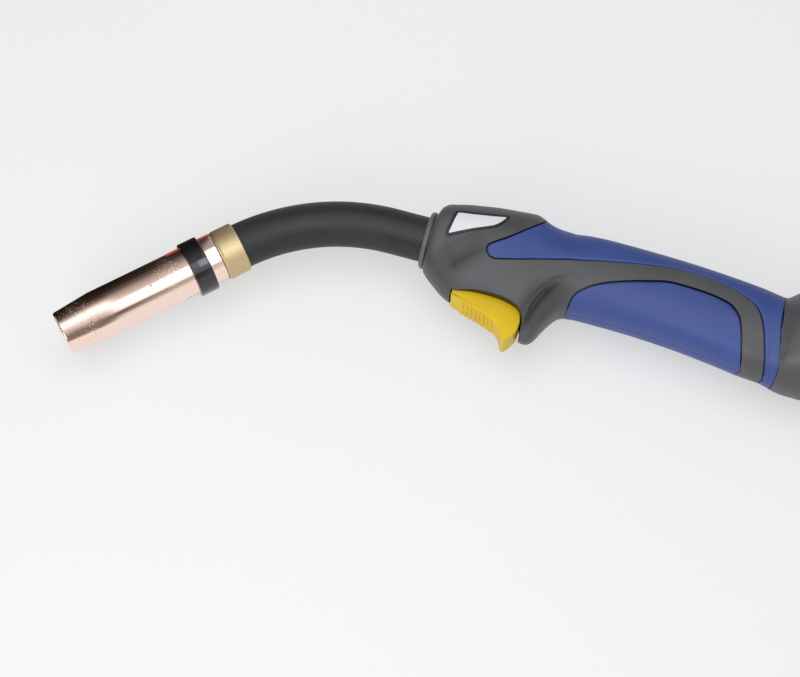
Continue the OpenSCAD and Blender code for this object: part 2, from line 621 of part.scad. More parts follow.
// Compression spring between the trigger and the ledge, as one coiled wire
spring_r = 2.2;
spring_wire = 0.35;
spring_turns = 5;
coil_steps = 10;                // rings in each turn
module trigger_spring() color(steel) {
    rise = ledge_y[0] - trigger_top - 2 * spring_wire - 0.2;
    turns = spring_turns * coil_steps;
    loft([for (i = [0 : turns])
        let (a = 360 * i / coil_steps, y = trigger_top + 0.1 + spring_wire + rise * i / turns)
        [for (b = [0 : 60 : 300]) let (r = spring_r + spring_wire * cos(b))
            [spring_x + r * cos(a), y + spring_wire * sin(b), r * sin(a)]]]);
}

module switch_body() color(black) difference() {
    translate([switch_x[0], switch_y[0], -switch_z])
        cube([switch_x[1] - switch_x[0], switch_y[1] - switch_y[0], 2 * switch_z]);
    for (p = peg_places) translate([p[0], p[1], 0])
        cylinder(r = peg_r + seat_gap, h = 4 * switch_z, center = true);
    translate([plunger_x, switch_y[0] - 1, 0]) rotate([-90, 0, 0])
        cylinder(r = plunger_r + seat_gap, h = 1 + plunger_in + 2);
}

module switch_plunger() color([0.8, 0.15, 0.12])
    translate([plunger_x, trigger_top + 0.15, 0]) rotate([-90, 0, 0])
        cylinder(r = plunger_r, h = switch_y[0] + plunger_in - trigger_top - 0.15);

module switch_terminals() color(brass)
    for (x = terminal_x) translate([x - 0.3, switch_y[1], -1.5]) cube([0.6, terminal_h, 3]);

// A wire through a few points, with mitred bends
function unit(v) = v / norm(v);
module wire(p) {
    last = len(p) - 1;
    loft([for (i = [0 : last])
        let (a = unit(p[min(i + 1, last)] - p[min(i, last - 1)]), b = unit(p[max(i, 1)] - p[max(i - 1, 0)]),
            t = unit(a + b), u = unit(cross(t, [0, 1, 0])), v = cross(u, t))
        [for (k = [0 : 30 : 330]) p[i] + lead_r * (cos(k) * v + sin(k) * u / (a * t))]]);
}

module switch_leads() color([0.75, 0.75, 0.78]) for (k = [0, 1]) {
    side = 1 - 2 * k;
    wire([[terminal_x[k], lead_y, side * 1.5], [terminal_x[k], lead_y, side * lead_z],
        [plug_x - 6, lead_y, side * lead_z], [plug_x - 2.5, lead_y - 1.5, side * 2.2],
        [plug_x, lead_y - 1.5, side * 2.2]]);
}

module lead_connector() color([0.92, 0.92, 0.88]) difference() {
    translate([plug_x, lead_y - 4.5, -5]) cube([12, 5.4, 10]);
    for (side = [-1, 1]) translate([plug_x + 4, lead_y - 1.5, side * 2.2]) rotate([0, 90, 0])
        cylinder(r = 1, h = 9);
}

// ---------------------------------------------------------------- connector block
block_end = block_from + block_len;
nipple_r = 3.2;
nipple_len = 22;
barb_len = 12;
module connector_block() color(brass) difference() {
    union() {
        on_neck(block_from) cylinder(r = block_r, h = block_len);
        on_neck(block_end) cylinder(r = nipple_r, h = nipple_len);
    }
    on_neck(block_from - 1) {
        cylinder(r = conductor_d / 2 + seat_gap, h = tube_end - block_from + 1 + slide_gap);
        cylinder(r = wire_d + 1, h = block_len + nipple_len + 2);
        for (side = [-1, 1]) translate([side * water_z, 0, 0]) {
            cylinder(r = water_d / 2 + seat_gap, h = tube_end - block_from + 1 + slide_gap);
            cylinder(r = water_d / 2 - 0.6, h = block_len);
            translate([0, 0, block_len - 3]) cylinder(r = water_d / 2 + seat_gap, h = 5);
        }
    }
}

module water_barbs() color(brass) for (side = [-1, 1])
    on_neck(block_end - 4 + slide_gap) translate([side * water_z, 0, 0]) rotate_extrude()
        polygon([[1, 0], [water_d / 2, 0], [water_d / 2, 4 - slide_gap], [2.6, 4 - slide_gap],
            [2.6, 5], [1.9, 5], each [for (i = [0 : 2]) each
                let (z = 6 + i * 2.4) [[1.9, z], [2.6, z + 0.2], [1.9, z + 2.2]]],
            [1.9, 4 + barb_len], [1, 4 + barb_len]]);

module conduit_nut() color(brass) on_neck(block_end + barb_len + 2) difference() {
    cylinder(r = 6.2, h = 6.5, $fn = 6);
    translate([0, 0, -1]) cylinder(r = nipple_r + seat_gap, h = 9);
}

// ---------------------------------------------------------------- ball swivel
module ball_seat(from, to) color(black) at_swivel() difference() {
    translate([0, 0, from]) cylinder(r = seat_r, h = to - from);
    sphere(r = ball_r + slide_gap, $fn = 96);
}
module ball_seat_front() ball_seat(-seat_w / 2, 0);
module ball_seat_rear() ball_seat(0, seat_w / 2);

module swivel_ball() color(dark_grey) at_swivel() difference() {
    union() {
        intersection() {
            sphere(r = ball_r, $fn = 96);
            translate([0, 0, ball_front]) cylinder(r = ball_r + 1, h = 2 * ball_r);
        }
        cylinder(r = spigot_r, h = spigot_reach - 1);
        translate([0, 0, spigot_reach - 1]) cylinder(r1 = spigot_r, r2 = spigot_r - 1, h = 1);
    }
    translate([0, 0, ball_front - 1]) cylinder(r = cable_d / 2, h = spigot_reach - ball_front + 2);
    // Flare where the hoses turn into the handle
    translate([0, 0, ball_front - 0.01]) cylinder(r1 = cable_d / 2 + 4, r2 = cable_d / 2, h = 5);
}

// ---------------------------------------------------------------- resting place
rim = [[nozzle_front - 0.4, nozzle_tip_d / 2], [nozzle_front, nozzle_tip_d / 2 - 0.4]];
x_low = min([for (q = rim) nozzle_point(q[0], q[1])[0]]);
y_low = min([for (q = rim) nozzle_point(q[0], -q[1])[1]]);
x_high = swivel_x + spigot_reach;
y_high = max([for (s = sections) s[1]]);
z_low = -max([for (s = sections) s[3]]);

// Moves the origin from the front of the handle to the resting plane
module lay() translate([-(x_low + x_high) / 2, -(y_low + y_high) / 2, -z_low]) children();

lay() nozzle();
lay() nozzle_clamp_ring();
lay() contact_tip();
lay() tip_holder();
lay() gas_diffuser();
lay() nozzle_insulator();
lay() neck_head();
lay() neck_ring();
lay() neck_sleeve();
lay() conductor_tube();
lay() water_feed_tube();
lay() water_return_tube();
lay() wire_liner();
lay() neck_collar();
lay() handle_left();
lay() handle_right();
lay() upper_grip_left();
lay() upper_grip_right();
lay() lower_grip_left();
lay() lower_grip_right();
lay() rating_plate();
lay() handle_screws();
lay() trigger();
lay() trigger_pin();
lay() trigger_spring();
lay() switch_body();
lay() switch_plunger();
lay() switch_terminals();
lay() switch_leads();
lay() lead_connector();
lay() connector_block();
lay() water_barbs();
lay() conduit_nut();
lay() ball_seat_front();
lay() ball_seat_rear();
lay() swivel_ball();
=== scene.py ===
"""A water-cooled MIG welding torch lying on its right side, dressed piece by piece from the neck
to the nozzle and then from the handle shells to the hose swivel. Sizes are in millimetres,
counted from the front of the handle on the handle's axis: +x to the rear, +y to the back of the
hand, +z to the left side."""
import math

import bmesh
import bpy
import numpy as np
from mathutils import Matrix, Vector


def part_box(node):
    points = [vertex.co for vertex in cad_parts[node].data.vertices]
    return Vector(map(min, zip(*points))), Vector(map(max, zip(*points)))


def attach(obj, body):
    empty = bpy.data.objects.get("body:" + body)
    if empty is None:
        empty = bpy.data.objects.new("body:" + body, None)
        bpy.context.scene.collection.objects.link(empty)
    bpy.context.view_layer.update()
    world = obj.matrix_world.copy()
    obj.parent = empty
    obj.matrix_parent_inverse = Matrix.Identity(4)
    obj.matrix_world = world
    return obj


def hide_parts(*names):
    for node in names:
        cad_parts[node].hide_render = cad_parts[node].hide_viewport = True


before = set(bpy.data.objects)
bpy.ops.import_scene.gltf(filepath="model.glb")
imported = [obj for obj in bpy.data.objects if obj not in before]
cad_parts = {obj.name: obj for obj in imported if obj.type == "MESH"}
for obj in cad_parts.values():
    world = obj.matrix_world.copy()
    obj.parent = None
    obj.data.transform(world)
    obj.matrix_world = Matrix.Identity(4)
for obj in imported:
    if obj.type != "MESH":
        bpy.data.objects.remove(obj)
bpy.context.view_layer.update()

# ---- Neck sleeve -----------------------------------------------------------------------------
# The bent neck is a bundle of copper tubes inside one moulded rubber sleeve. The sleeve is matt
# black, a little greyer where hands and bench have rubbed it, and slides under the head collar.
pin_low, pin_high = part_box("trigger_pin")
PIN_X, PIN_Y, PIN_R = 28, -24.5, 1.5
LAID = (pin_low + pin_high) / 2 * 1000 - Vector((PIN_X, PIN_Y, 0))


def place(x, y, z=0.0):
    """A point of the handle's own frame, in millimetres, as a point of the model."""
    return Vector((x + LAID.x, y + LAID.y, z + LAID.z)) / 1000


def turned(p, degrees):
    c, s = math.cos(math.radians(degrees)), math.sin(math.radians(degrees))
    return Vector((p[0] * c - p[1] * s, p[0] * s + p[1] * c))


NECK_Y, NECK_TILT, NECK_LEAD, BEND_R, BEND = -6.7, 3.0, 14.0, 96.0, 45.5
NECK_R, SLEEVE_WALL, SLEEVE_END = 11.0, 1.7, 18.0
NOZZLE_ANGLE = NECK_TILT + BEND


def neck_axis(s):
    """The point on the neck's axis s mm behind the front of the handle."""
    return Vector((0, NECK_Y)) + turned((s, 0), NECK_TILT)


bend_centre = neck_axis(-NECK_LEAD) + turned((0, -BEND_R), NECK_TILT)
bend_end = bend_centre + turned((0, BEND_R), NOZZLE_ANGLE)


def shown(name, data):
    """A new object of the scene that holds the data."""
    piece = bpy.data.objects.new(name, data)
    bpy.context.scene.collection.objects.link(piece)
    return piece


def tree_with(name, sockets):
    """An empty geometry tree with a mesh or curve in, a mesh out and named inputs for its sizes."""
    tree = bpy.data.node_groups.new(name, "GeometryNodeTree")
    tree.interface.new_socket("Geometry", in_out="INPUT", socket_type="NodeSocketGeometry")
    for label, kind in sockets:
        tree.interface.new_socket(label, in_out="INPUT", socket_type=kind)
    tree.interface.new_socket("Geometry", in_out="OUTPUT", socket_type="NodeSocketGeometry")
    return tree, tree.nodes.new("NodeGroupInput")


def wired(tree, kind, links, **settings):
    """A new node in the tree. links gives its inputs, by name or number, a value, a socket or a
    node, which stands for its first output."""
    node = tree.nodes.new(kind)
    for key, value in settings.items():
        setattr(node, key, value)
    for key, value in links.items():
        if isinstance(value, bpy.types.Node):
            value = value.outputs[0]
        if isinstance(value, bpy.types.NodeSocket):
            tree.links.new(value, node.inputs[key])
        else:
            node.inputs[key].default_value = value
    return node


def maths(tree, operation, first, second):
    return wired(tree, "ShaderNodeMath", {0: first, 1: second}, operation=operation)


def ranged(tree, value, low, high, to_low=0.0, to_high=1.0):
    """A value's span from low to high, moved to another span and held inside it."""
    return wired(tree, "ShaderNodeMapRange", {
        "Value": value, "From Min": low, "From Max": high, "To Min": to_low, "To Max": to_high})


def noise(tree, at, scale, detail=2.0, roughness=0.5):
    return wired(tree, "ShaderNodeTexNoise", {
        "Vector": at, "Scale": scale, "Detail": detail, "Roughness": roughness})


def object_place(tree):
    return wired(tree, "ShaderNodeTexCoord", {}).outputs["Object"]


def joined(tree, *parts):
    join = tree.nodes.new("GeometryNodeJoinGeometry")
    for part in parts:
        tree.links.new(part.outputs[0], join.inputs[0])
    return join


def ended(tree, tree_in, geometry):
    """Ends a geometry tree with real geometry in the material that the tree is given."""
    real = wired(tree, "GeometryNodeRealizeInstances", {"Geometry": geometry})
    painted = wired(tree, "GeometryNodeSetMaterial", {
        "Geometry": real, "Material": tree_in.outputs["Material"]})
    wired(tree, "NodeGroupOutput", {"Geometry": painted})


def grown(name, source, tree, values):
    """The plain mesh that a geometry tree makes from a source object."""
    modifier = source.modifiers.new("grow", "NODES")
    modifier.node_group = tree
    for item in tree.interface.items_tree:
        if item.in_out == "INPUT" and item.name in values:
            modifier[item.identifier] = values[item.name]
    bpy.context.view_layer.update()
    mesh = bpy.data.meshes.new_from_object(source.evaluated_get(bpy.context.evaluated_depsgraph_get()))
    mesh.name = name
    bpy.data.objects.remove(source)
    return shown(name, mesh)


def new_material(name, **values):
    """A material with a Principled shader, whose own sockets take the values."""
    material = bpy.data.materials.new(name)
    material.use_nodes = True
    shader = material.node_tree.nodes["Principled BSDF"]
    for key, value in values.items():
        shader.inputs[key.replace("_", " ")].default_value = value
    return material, material.node_tree, shader


def surface_group(name, outputs, inputs):
    """A shader group's tree and its input node. outputs are names of numbers, inputs name a number
    and its usual value."""
    group = bpy.data.node_groups.new(name, "ShaderNodeTree")
    for label, value in inputs:
        socket = group.interface.new_socket(label, in_out="INPUT", socket_type="NodeSocketFloat")
        socket.default_value = value
    for label in outputs:
        group.interface.new_socket(label, in_out="OUTPUT", socket_type="NodeSocketFloat")
    return group, group.nodes.new("NodeGroupInput")


# Moulded grain: a fine pebbled height and a slow patchy mask, in object space
grain_group, grain_in = surface_group(
    "moulded grain", ["Height", "Patches"], [("Scale", 1500.0), ("Patch Scale", 60.0)])
grain_at = object_place(grain_group)
grain_slow = noise(grain_group, grain_at, grain_in.outputs["Patch Scale"], 5.0, 0.6)
wired(grain_group, "NodeGroupOutput", {
    "Height": noise(grain_group, grain_at, grain_in.outputs["Scale"]),
    "Patches": ranged(grain_group, grain_slow, 0.35, 0.7)})


def bumped(tree, shader, group, strength, distance):
    """Gives a shader the normal of a surface group's height, and returns the group for its masks."""
    bump = wired(tree, "ShaderNodeBump", {
        "Height": group.outputs["Height"], "Strength": strength, "Distance": distance})
    tree.links.new(bump.outputs["Normal"], shader.inputs["Normal"])
    return group


def with_grain(tree, shader, scale, patch_scale, strength, distance):
    grain = wired(tree, "ShaderNodeGroup", {
        "Scale": scale, "Patch Scale": patch_scale}, node_tree=grain_group)
    return bumped(tree, shader, grain, strength, distance)


def two_tones(tree, mask, low, high):
    """A colour that goes with a mask from low, which may be another colour's socket, to high."""
    low = low if isinstance(low, bpy.types.NodeSocket) else (*low, 1)
    mix = wired(tree, "ShaderNodeMix", {0: mask, 6: low, 7: (*high, 1)}, data_type="RGBA")
    return mix.outputs[2]


def roughness_from(tree, shader, mask, low, high):
    tree.links.new(ranged(tree, mask, 0.0, 1.0, low, high).outputs["Result"], shader.inputs["Roughness"])


def moulded(name, low, high, roughness, grain=1800.0, patches=70.0, strength=0.2, depth=0.00005, **values):
    """A plain moulded or drawn material with fine grain and two close tones. roughness is one
    number, about which it varies, or its least and its most."""
    material, tree, shader = new_material(name, **values)
    patchy = with_grain(tree, shader, grain, patches, strength, depth).outputs["Patches"]
    tree.links.new(two_tones(tree, patchy, low, high), shader.inputs["Base Color"])
    least, most = roughness if isinstance(roughness, tuple) else (roughness * 0.85, roughness * 1.2)
    roughness_from(tree, shader, patchy, least, most)
    return material


rubber = moulded("neck rubber", (0.007, 0.0067, 0.0064), (0.017, 0.0162, 0.0155), (0.45, 0.62),
                 2200.0, 45.0, 0.35, 0.0001)


def put(piece, body, slot, *nodes):
    """Rides a finished piece on its body and lets it stand for its CAD nodes."""
    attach(piece, body)
    if nodes:
        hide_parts(*nodes)


def soft_shaded(mesh, degrees=35.0):
    mesh.polygons.foreach_set("use_smooth", [True] * len(mesh.polygons))
    mesh.set_sharp_from_angle(angle=math.radians(degrees))
    mesh.update()


# The sleeve's line: a straight piece inside the head, the lead and the bend
sleeve_line = [neck_axis(s) for s in (SLEEVE_END, 12.0, 6.0, 0.0, -7.0, -NECK_LEAD)]
BEND_STEPS = 60
sleeve_line += [bend_centre + turned((0, BEND_R), NECK_TILT + BEND * i / BEND_STEPS)
                for i in range(1, BEND_STEPS + 1)]
sleeve_curve = bpy.data.curves.new("sleeve line", "CURVE")
sleeve_curve.dimensions = "3D"
sleeve_spline = sleeve_curve.splines.new("POLY")
sleeve_spline.points.add(len(sleeve_line) - 1)
for point, at in zip(sleeve_spline.points, sleeve_line):
    point.co = (*place(at.x, at.y), 1)
sleeve_source = shown("sleeve line", sleeve_curve)
sleeve_tree, sleeve_in = tree_with("tube along a line", [
    ("Radius", "NodeSocketFloat"), ("Wall", "NodeSocketFloat"), ("Material", "NodeSocketMaterial")])


def tube_skin(radius):
    ring = wired(sleeve_tree, "GeometryNodeCurvePrimitiveCircle", {"Resolution": 96, "Radius": radius})
    return wired(sleeve_tree, "GeometryNodeCurveToMesh", {"Curve": sleeve_in, "Profile Curve": ring})


sleeve_bore_r = maths(sleeve_tree, "SUBTRACT", sleeve_in.outputs["Radius"], sleeve_in.outputs["Wall"])
sleeve_skin = tube_skin(sleeve_in.outputs["Radius"])
sleeve_inside = wired(sleeve_tree, "GeometryNodeFlipFaces", {"Mesh": tube_skin(sleeve_bore_r)})
ended(sleeve_tree, sleeve_in, joined(sleeve_tree, sleeve_skin, sleeve_inside))
sleeve = grown("neck_sleeve_rubber", sleeve_source, sleeve_tree, {
    "Radius": NECK_R / 1000, "Wall": SLEEVE_WALL / 1000, "Material": rubber})
sleeve_bm = bmesh.new()
sleeve_bm.from_mesh(sleeve.data)
bmesh.ops.bridge_loops(sleeve_bm, edges=[e for e in sleeve_bm.edges if e.is_boundary and
                                         (e.verts[0].co - place(*sleeve_line[0])).length < 0.02])
bmesh.ops.bridge_loops(sleeve_bm, edges=[e for e in sleeve_bm.edges if e.is_boundary])
bmesh.ops.recalc_face_normals(sleeve_bm, faces=sleeve_bm.faces)
sleeve_bm.to_mesh(sleeve.data)
soft_shaded(sleeve.data)
put(sleeve, "handle", "neck_rubber", "neck_sleeve")

# ---- Brass ring -------------------------------------------------------------------------------
# A turned brass ring closes the front of the rubber sleeve and is what the nozzle butts against.
# Its faces carry fine turning lines, and its edges are broken with small chamfers.


def softened(profile, radius, steps=4):
    """A closed outline with every corner rounded by an arc, smaller where its sides are short."""
    points = [Vector(p) for p in profile]
    out = []
    for i, corner in enumerate(points):
        before, after = points[i - 1] - corner, points[(i + 1) % len(points)] - corner
        reach = min(radius, before.length * 0.45, after.length * 0.45)
        start, end = corner + before.normalized() * reach, corner + after.normalized() * reach
        for k in range(steps + 1):
            t = k / steps
            out.append(start * (1 - t) ** 2 + corner * 2 * t * (1 - t) + end * t ** 2)
    return out


def as_mesh(bm, name="cutter"):
    """A bmesh's mesh, with its faces turned outwards."""
    bmesh.ops.recalc_face_normals(bm, faces=bm.faces)
    mesh = bpy.data.meshes.new(name)
    bm.to_mesh(mesh)
    bm.free()
    return mesh


def round_places(radius, steps):
    """Points (x, y) of a circle about the origin."""
    return [(radius * math.cos(2 * math.pi * k / steps), radius * math.sin(2 * math.pi * k / steps))
            for k in range(steps)]


def revolved(name, profile, matrix, steps=128):
    """A closed profile of (radius, distance along the axis) turned round the matrix's Z axis, with
    a UV map of turns and millimetres along the axis."""
    bm = bmesh.new()
    uv = bm.loops.layers.uv.new("turning")
    rings = [[bm.verts.new(matrix @ Vector((*p, s))) for p in round_places(r, steps)] for r, s in profile]
    for i, ring in enumerate(rings):
        other = rings[(i + 1) % len(rings)]
        s, s_next = profile[i][1], profile[(i + 1) % len(profile)][1]
        for k in range(steps):
            face = bm.faces.new((ring[k], ring[(k + 1) % steps], other[(k + 1) % steps], other[k]))
            corners = ((k, s), (k + 1, s), (k + 1, s_next), (k, s_next))
            for loop, (turn, at) in zip(face.loops, corners):
                loop[uv].uv = (turn / steps, at)
    mesh = as_mesh(bm, name)
    soft_shaded(mesh, 28)
    return shown(name, mesh)


def side_frame(x, y, direction):
    """A frame in millimetres at a point of the middle plane: Z runs in a direction of the side view
    and X to the torch's left side."""
    left, axis = Vector((0, 0, 1)), Vector((*direction, 0))
    turn = Matrix((left, axis.cross(left), axis)).transposed().to_4x4()
    return Matrix.Translation(place(x, y)) @ turn @ Matrix.Scale(0.001, 4)


# On the nozzle's axis, Z runs forward from the front end of the bend
NOZZLE_AXIS = side_frame(bend_end.x, bend_end.y, turned((-1, 0), NOZZLE_ANGLE))
RING_W, RING_R, RING_BORE = 11.4, 12.35, 9.3

# Turning lines: a height and a mask of fine rings along a turned piece, from its UV map
turning_group, turning_in = surface_group(
    "turning lines", ["Height", "Rings", "Specks", "Scuffs"], [("Density", 30.0)])
turning_uv = wired(turning_group, "ShaderNodeUVMap", {}, uv_map="turning")
turning_split = wired(turning_group, "ShaderNodeSeparateXYZ", {"Vector": turning_uv})
turning_along = maths(turning_group, "MULTIPLY", turning_split.outputs["Y"], turning_in.outputs["Density"])
turning_at = wired(turning_group, "ShaderNodeCombineXYZ", {
    "X": turning_split.outputs["X"], "Y": turning_along})
turning_noise = noise(turning_group, turning_at, 1.0, 3.0, 0.7)
turning_object = object_place(turning_group)
turning_specks = noise(turning_group, turning_object, 650.0, 3.0, 0.65)
turning_spread = wired(turning_group, "ShaderNodeMapping", {
    "Vector": turning_object, "Location": (0.7, 0.2, 0.4)})
turning_worn = maths(turning_group, "MULTIPLY", noise(turning_group, turning_spread, 1500.0, 2.0, 0.6),
                     noise(turning_group, turning_spread, 45.0))
wired(turning_group, "NodeGroupOutput", {
    "Height": turning_noise, "Rings": turning_noise,
    "Specks": ranged(turning_group, turning_specks, 0.66, 0.74),
    "Scuffs": ranged(turning_group, turning_worn, 0.335, 0.42)})


def with_turning(tree, shader, density, strength, distance):
    lines = wired(tree, "ShaderNodeGroup", {"Density": density}, node_tree=turning_group)
    return bumped(tree, shader, lines, strength, distance)


brass, brass_tree, brass_shader = new_material("turned brass", Metallic=1.0)
brass_lines = with_turning(brass_tree, brass_shader, 9.0, 0.35, 0.00005)
brass_tone = two_tones(brass_tree, brass_lines.outputs["Rings"], (0.56, 0.43, 0.23), (0.70, 0.55, 0.33))
brass_tree.links.new(two_tones(brass_tree, brass_lines.outputs["Specks"], brass_tone, (0.30, 0.22, 0.12)),
                     brass_shader.inputs["Base Color"])
roughness_from(brass_tree, brass_shader, brass_lines.outputs["Rings"], 0.42, 0.58)

brass_ring = revolved("brass_neck_ring", softened(
    [(RING_BORE, 0), (RING_R - 0.25, 0), (RING_R, 0.35), (RING_R, RING_W - 1.3),
     (RING_R - 0.55, RING_W - 0.6), (RING_R - 0.55, RING_W), (RING_BORE, RING_W)], 0.2), NOZZLE_AXIS)
brass_ring.data.materials.append(brass)
put(brass_ring, "handle", "satin_brass", "neck_ring")

# ---- Gas nozzle -------------------------------------------------------------------------------
# A drawn and polished copper cup that slides over the red insulator. Saw cuts in its rear let the
# clamp ring squeeze it. It is bright, with fine polishing lines and small spatter marks.
NOZZLE_REAR = RING_W + 0.2
NOZZLE_LEN, NOZZLE_R, NOZZLE_BORE = 82.0, 12.0, 10.2
NOZZLE_FRONT = NOZZLE_REAR + NOZZLE_LEN
TIP_R, MOUTH_R, TAPER = 10.35, 8.0, 18.5
SLOTS, SLOT_LEN, SLOT_W, FIRST_SLOT, KEY_W = 5, 23.0, 0.6, -48.0, 1.2

copper, copper_tree, copper_shader = new_material("polished copper", Metallic=1.0)
copper_lines = with_turning(copper_tree, copper_shader, 6.0, 0.12, 0.00003)
copper_base = two_tones(copper_tree, copper_lines.outputs["Rings"], (0.93, 0.71, 0.61), (0.98, 0.78, 0.69))
copper_tree.links.new(
    two_tones(copper_tree, copper_lines.outputs["Specks"], copper_base, (0.26, 0.15, 0.11)),
    copper_shader.inputs["Base Color"])
copper_smooth = ranged(copper_tree, copper_lines.outputs["Rings"], 0.0, 1.0, 0.07, 0.16)
copper_rough = wired(copper_tree, "ShaderNodeMix", {
    0: copper_lines.outputs["Scuffs"], 2: copper_smooth, 3: 0.45})
copper_tree.links.new(copper_rough.outputs[0], copper_shader.inputs["Roughness"])


def box_cutter(low, high, matrix):
    bm = bmesh.new()
    bmesh.ops.create_cube(bm, size=1.0)
    for v in bm.verts:
        v.co = matrix @ Vector([low[i] + (high[i] - low[i]) * (v.co[i] + 0.5) for i in range(3)])
    return as_mesh(bm)


def carve(piece, cutters, material, degrees=28):
    """Cuts closed meshes out of a piece for good, then gives it its material and shading."""
    tools = []
    for mesh in cutters:
        tool = shown("cutter", mesh)
        tools.append(tool)
        cut = piece.modifiers.new("cut", "BOOLEAN")
        cut.operation, cut.object, cut.solver = "DIFFERENCE", tool, "MANIFOLD"
    bpy.context.view_layer.update()
    mesh = bpy.data.meshes.new_from_object(piece.evaluated_get(bpy.context.evaluated_depsgraph_get()))
    piece.modifiers.clear()
    old, piece.data = piece.data, mesh
    mesh.name = piece.name
    bpy.data.meshes.remove(old)
    for tool in tools:
        bpy.data.objects.remove(tool)
    mesh.materials.clear()
    mesh.materials.append(material)
    mesh.polygons.foreach_set("material_index", [0] * len(mesh.polygons))
    soft_shaded(mesh, degrees)


nozzle = revolved("copper_gas_nozzle", softened(
    [(NOZZLE_BORE, NOZZLE_REAR), (NOZZLE_R, NOZZLE_REAR), (NOZZLE_R, NOZZLE_FRONT - TAPER),
     (TIP_R, NOZZLE_FRONT - 0.6), (TIP_R - 0.5, NOZZLE_FRONT), (MOUTH_R, NOZZLE_FRONT),
     (MOUTH_R, NOZZLE_FRONT - TAPER - 4), (NOZZLE_BORE, NOZZLE_FRONT - TAPER - 10)], 0.5),
    NOZZLE_AXIS, 160)
slot_cuts = []
for i in range(SLOTS):
    half = KEY_W / 2 + 0.1 if i == 0 else SLOT_W / 2
    facing = NOZZLE_AXIS @ Matrix.Rotation(math.radians(-FIRST_SLOT - i * 360 / SLOTS), 4, "Z")
    slot_cuts.append(box_cutter((2, -half, NOZZLE_REAR - 1), (16, half, NOZZLE_REAR + SLOT_LEN), facing))
carve(nozzle, slot_cuts, copper)
put(nozzle, "nozzle", "polished_copper", "nozzle")

# ---- Clamp ring -------------------------------------------------------------------------------
# A springy ring with a hard glossy black coat, pushed over the slotted end so that the nozzle
# grips the insulator.
CLAMP_FROM, CLAMP_W, CLAMP_T = NOZZLE_REAR + 6.2, 9.2, 1.7
gloss, gloss_tree, gloss_shader = new_material("black enamel", Roughness=0.12, Coat_Weight=0.5,
                                               Coat_Roughness=0.05)
gloss_grain = with_grain(gloss_tree, gloss_shader, 900.0, 120.0, 0.05, 0.00003)
gloss_tree.links.new(two_tones(gloss_tree, gloss_grain.outputs["Patches"], (0.004, 0.004, 0.0045),
                               (0.009, 0.009, 0.010)), gloss_shader.inputs["Base Color"])
clamp = revolved("black_clamp_ring", softened(
    [(NOZZLE_R + 0.05, CLAMP_FROM), (NOZZLE_R + CLAMP_T, CLAMP_FROM),
     (NOZZLE_R + CLAMP_T, CLAMP_FROM + CLAMP_W), (NOZZLE_R + 0.05, CLAMP_FROM + CLAMP_W)], 0.45),
    NOZZLE_AXIS)
facing = NOZZLE_AXIS @ Matrix.Rotation(math.radians(-FIRST_SLOT), 4, "Z")
carve(clamp, [box_cutter((2, -KEY_W / 2 - 0.3, CLAMP_FROM - 1),
                         (NOZZLE_R + 0.7, KEY_W / 2 + 0.3, CLAMP_FROM + CLAMP_W + 1), facing)], gloss)
put(clamp, "nozzle", "gloss_black", "nozzle_clamp_ring")

# ---- Front end inside the nozzle ----------------------------------------------------------------
# The copper contact tip screws into a brass holder on the end of the neck. A ceramic diffuser
# spreads the gas, and a moulded red sleeve with a key keeps the nozzle apart from the neck.


def dressed(material, *nodes):
    """Gives CAD nodes that keep their own shape a material."""
    for name in nodes:
        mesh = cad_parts[name].data
        mesh.materials.clear()
        mesh.materials.append(material)


bare_copper = moulded("bare copper", (0.62, 0.33, 0.22), (0.75, 0.43, 0.31), 0.34, 1200, 90, 0.1,
                      Metallic=1.0)
dull_brass = moulded("dull brass", (0.48, 0.37, 0.15), (0.60, 0.48, 0.23), 0.38, 1200, 90, 0.1,
                     Metallic=1.0)
ceramic = moulded("white ceramic", (0.70, 0.67, 0.58), (0.78, 0.76, 0.70), 0.55)
red_mould = moulded("red insulation", (0.42, 0.020, 0.014), (0.55, 0.032, 0.022), 0.45)
dressed(bare_copper, "contact_tip", "conductor_tube", "water_feed_tube", "water_return_tube")
dressed(dull_brass, "tip_holder", "neck_head", "connector_block", "water_barbs", "conduit_nut",
        "switch_terminals")
dressed(ceramic, "gas_diffuser")
dressed(red_mould, "nozzle_insulator")

